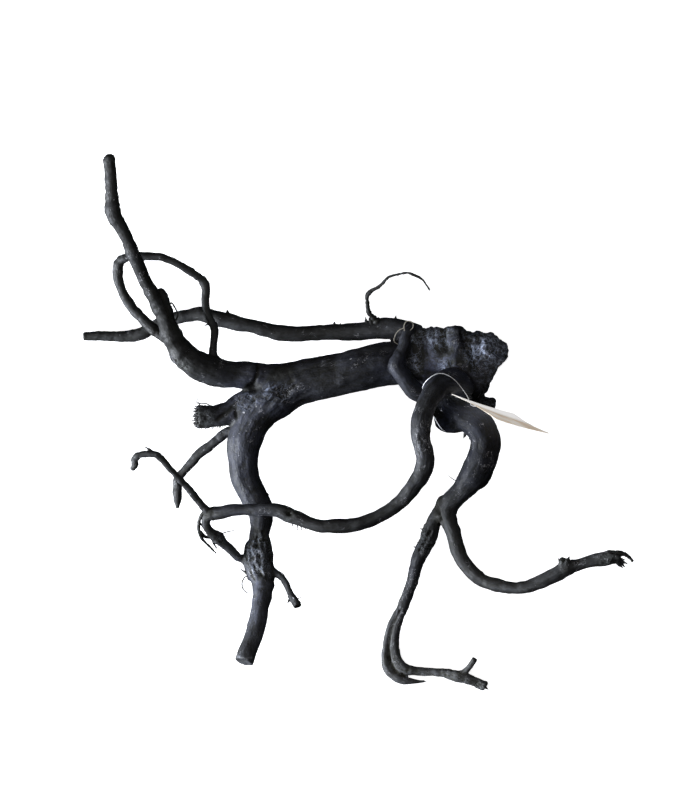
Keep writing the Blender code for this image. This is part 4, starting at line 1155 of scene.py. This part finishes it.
class DRYROOT_OT_fibres(bpy.types.Operator):
    """Build the rootlets, spurs, splinters and hairs"""
    bl_idname = "dryroot.fibres"
    bl_label = "Rootlets and fibres"

    def execute(self, context):
        fibres = context.scene.dryroot_fibres
        random = np.random.default_rng(SPLINTER_SEED)
        parts, grains, pales = [], [], []
        routes = [(route, 8) for route in WIRES + ROOTLETS]
        for root, tip, radius in SPURS:
            root, tip = np.array(root, float), np.array(tip, float)
            middle = (root + tip) / 2 + random.uniform(-0.4, 0.4, 3)
            routes.append(([(*root, radius), (*middle, radius * 0.66), (*tip, 0.25)], 8))
        routes += [(route, 5) for route in splinters(fibres, random)]
        for number, (route, sides) in enumerate(routes):
            line = smooth_line(route, FIBRE_STEP)
            place = np.zeros((len(line), 3))
            place[:, 0] = np.arange(len(line)) * 0.35
            place[:, 1] = number * 3.3
            line[:, 3] *= 1 + 0.22 * lattice_noise(place, BEND)
            points, faces = tube(line, sides)
            rough = lattice_noise(points / 1.1, ROUGHNESS)
            middle = np.repeat(line[:, :3], sides, axis=0)
            points[:len(middle)] += (points[:len(middle)] - middle) * 0.22 * rough[:len(middle), None]
            parts.append((points, faces))
            travelled = np.repeat(np.arange(len(line)) * FIBRE_STEP, sides)
            turn = np.tile(np.arange(sides) * math.tau / sides, len(line))
            wound = np.stack((np.cos(turn), np.sin(turn), travelled + number * 9), axis=1)
            grains.append(np.vstack((wound, wound[-2:])))
            pales.append(np.full(len(points), PALE_WIRE if number < len(WIRES) else 0.0))
        made = mesh_object("rootlets", *joined(parts))
        save_attribute(made.data, "grain", np.vstack(grains))
        save_attribute(made.data, "pale", np.concatenate(pales))
        save_attribute(made.data, "hollow", np.full(len(made.data.vertices), 0.1))
        made.data.materials.append(dark_wood(context.scene.dryroot_wood))
        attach(made, "root")
        return {"FINISHED"}


class DRYROOT_OT_tag(bpy.types.Operator):
    """Build the blank card and its clear loop"""
    bl_idname = "dryroot.tag"
    bl_label = "Card and loop"

    def execute(self, context):
        tag = context.scene.dryroot_tag
        self.card(tag)
        self.loop(tag)
        return {"FINISHED"}

    def card(self, tag):
        """A bent card with a round hole.

        Rings of points run from the hole's circle to the card's rim, each a share of the way.
        A point u of the layout's length along and v of its width across lies between the corners, with
        weights (1 - u)(1 - v), u (1 - v), u v and (1 - u) v, and is moved out of the sheet by
        bow (sin(pi u) - 1.6 (1 - 2 u) sin(pi v)).
        """
        long, wide = tag.length / MM, tag.width / MM
        turn = np.arange(200) * math.tau / 200
        ray = np.stack((np.cos(turn), np.sin(turn)), axis=1)
        hole = np.array(TAG_HOLE)
        size = np.array((long, wide))
        to_edge = np.where(ray > 0, size - hole, hole) / np.maximum(np.abs(ray), 1e-6)
        rim = hole + ray * to_edge.min(axis=1)[:, None]
        share = np.linspace(0, 1, 26)[:, None, None] ** 1.3
        flat = ((hole + ray * CARD_HOLE)[None] * (1 - share) + rim[None] * share).reshape(-1, 2)
        u, v = (flat / size).T[..., None]
        one, two, three, four = TAG_CORNERS
        sheet = (1 - u) * (1 - v) * one + u * (1 - v) * two + u * v * three + (1 - u) * v * four
        across = np.cross((1 - v) * (two - one) + v * (three - four),
                          (1 - u) * (four - one) + u * (three - two))
        across /= np.linalg.norm(across, axis=1)[:, None]
        sheet += across * tag.bow / MM * (np.sin(np.pi * u) - 1.6 * (1 - 2 * u) * np.sin(np.pi * v))
        half = across * tag.thickness / MM / 2
        count, sides = len(share), len(turn)
        points = np.vstack((sheet + half, (sheet - half).reshape(count, sides, 3)[::-1].reshape(-1, 3)))
        made = mesh_object("card", points, grid_faces(2 * count, sides, closed=True))
        inset = np.minimum(flat, size - flat).min(axis=1)
        edge = 0.6 * np.clip(1 - inset / CARD_RIM, 0, 1) ** 2
        # Painted shade: from three tenths of the width on, the card darkens to the edge colour, fully past
        # the middle
        edge = np.maximum(edge, np.clip(flat[:, 1] / wide - 0.3, 0, 0.2) / 0.2)
        rim_and_painted_shade = np.concatenate((edge, edge.reshape(count, sides)[::-1].ravel()))
        save_attribute(made.data, "rim", rim_and_painted_shade)
        made.data.materials.append(blank_card(tag))
        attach(made, "root")
        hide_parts("hang_tag")

    def loop(self, tag):
        """A round thread along the closed route."""
        route = [(*point, tag.thread / MM) for point in LOOP_ROUTE]
        line = smooth_line(route[-3:] + route + route[:3], ROUTE_STEP)
        start = np.linalg.norm(line[:, :3] - LOOP_ROUTE[0], axis=1)
        half = len(line) // 2
        first, last = start[:half].argmin(), half + start[half:].argmin()
        line = line[first:last]
        middle = line[:, :3].mean(axis=0)
        facing = np.linalg.svd(line[:, :3] - middle)[2][2]
        made = mesh_object("loop", *tube(line, 12, reference=facing, closed=True))
        made.data.materials.append(clear_plastic(tag))
        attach(made, "root")
        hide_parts("tag_loop")


class DRYROOT_OT_stage(bpy.types.Operator):
    """Set the white floor, the lights and the camera over the root"""
    bl_idname = "dryroot.stage"
    bl_label = "Stage"

    def execute(self, context):
        stage = context.scene.dryroot_stage
        corners = np.array([(-1, -1, 0), (1, -1, 0), (1, 1, 0), (-1, 1, 0)]) * FLOOR_REACH / MM
        corners[:, 2] = -0.05
        floor = mesh_object("floor", corners, np.array([(0, 1, 2, 3)]))
        floor.data.materials.append(white_floor(stage))
        floor.visible_diffuse = False
        floor.visible_glossy = False
        floor.visible_shadow = False
        self.light("key", (-1.40, -0.40, 0.26), 0.6, stage.key, (0.87, 0.92, 1.0))
        self.light("fill", (-0.45, 0.15, 1.3), 0.9, stage.fill, (1.0, 0.98, 0.95))
        self.surroundings(context, stage)
        self.camera(context, stage)
        context.scene.view_settings.view_transform = "Standard"
        return {"FINISHED"}

    def light(self, name, place, size, power, colour):
        """A square soft light that faces the root."""
        lamp = bpy.data.lights.new(name, "AREA")
        lamp.size = size
        lamp.energy = power
        lamp.color = colour
        made = bpy.data.objects.new(name, lamp)
        made.location = place
        towards = Vector((0, 0, WOOD_HEIGHT)) - Vector(place)
        made.rotation_euler = towards.to_track_quat("-Z", "Y").to_euler()
        bpy.context.scene.collection.objects.link(made)

    def surroundings(self, context, stage):
        """Even pale surroundings, which light the root only a little."""
        world = bpy.data.worlds.new("room")
        world.use_nodes = True
        tree = world.node_tree
        sky = tree.nodes["Background"]
        sky.inputs["Color"].default_value = (0.95, 0.97, 1.0, 1.0)
        seen = add_node(tree, "ShaderNodeLightPath").outputs["Is Camera Ray"]
        looking = add_node(tree, "ShaderNodeTexCoord").outputs["Generated"]
        height = add_node(tree, "ShaderNodeSeparateXYZ", {"Vector": looking}).outputs["Z"]
        above = add_node(tree, "ShaderNodeMapRange",
                         {"Value": height, "From Min": -0.02, "From Max": 0.9, "To Min": 0.0,
                          "To Max": stage.air}).outputs[0]
        tree.links.new(add_math(tree, above, seen), sky.inputs["Strength"])
        context.scene.world = world

    def camera(self, context, stage):
        """Straight above the root, far off with a long lens, with the photograph's framing."""
        lens = bpy.data.cameras.new("camera")
        lens.sensor_fit = "VERTICAL"
        lens.sensor_height = 36.0
        lens.lens = lens.sensor_height * (stage.distance - WOOD_HEIGHT) / PICTURE_HEIGHT
        lens.clip_end = 200.0
        made = bpy.data.objects.new("camera", lens)
        made.location = (*PICTURE_MIDDLE, stage.distance)
        context.scene.collection.objects.link(made)
        context.scene.camera = made


class DRYROOT_PT_panel(bpy.types.Panel):
    """Lists the pieces of the root"""
    bl_idname = "DRYROOT_PT_panel"
    bl_label = "Dry root"
    bl_space_type = "VIEW_3D"
    bl_region_type = "UI"
    bl_category = "Dry root"

    def draw(self, context):
        for settings, operator in ((context.scene.dryroot_wood, DRYROOT_OT_wood),
                                   (context.scene.dryroot_fibres, DRYROOT_OT_fibres),
                                   (context.scene.dryroot_tag, DRYROOT_OT_tag),
                                   (context.scene.dryroot_stage, DRYROOT_OT_stage)):
            box = self.layout.box()
            for name in settings.__annotations__:
                box.prop(settings, name)
            box.operator(operator.bl_idname)


CLASSES = (DryRootWood, DryRootFibres, DryRootTag, DryRootStage, DRYROOT_OT_wood,
           DRYROOT_OT_fibres, DRYROOT_OT_tag, DRYROOT_OT_stage, DRYROOT_PT_panel)


def register():
    """Make the classes and the scene's settings known."""
    for each in CLASSES:
        bpy.utils.register_class(each)
    bpy.types.Scene.dryroot_wood = PointerProperty(type=DryRootWood)
    bpy.types.Scene.dryroot_fibres = PointerProperty(type=DryRootFibres)
    bpy.types.Scene.dryroot_tag = PointerProperty(type=DryRootTag)
    bpy.types.Scene.dryroot_stage = PointerProperty(type=DryRootStage)


def unregister():
    """Take the settings and the classes away again."""
    del bpy.types.Scene.dryroot_stage
    del bpy.types.Scene.dryroot_tag
    del bpy.types.Scene.dryroot_fibres
    del bpy.types.Scene.dryroot_wood
    for each in reversed(CLASSES):
        bpy.utils.unregister_class(each)


def main():
    """Build the pieces and the stage in order."""
    register()
    bpy.ops.dryroot.wood()
    bpy.ops.dryroot.fibres()
    bpy.ops.dryroot.tag()
    bpy.ops.dryroot.stage()


if __name__ == "__main__":
    main()
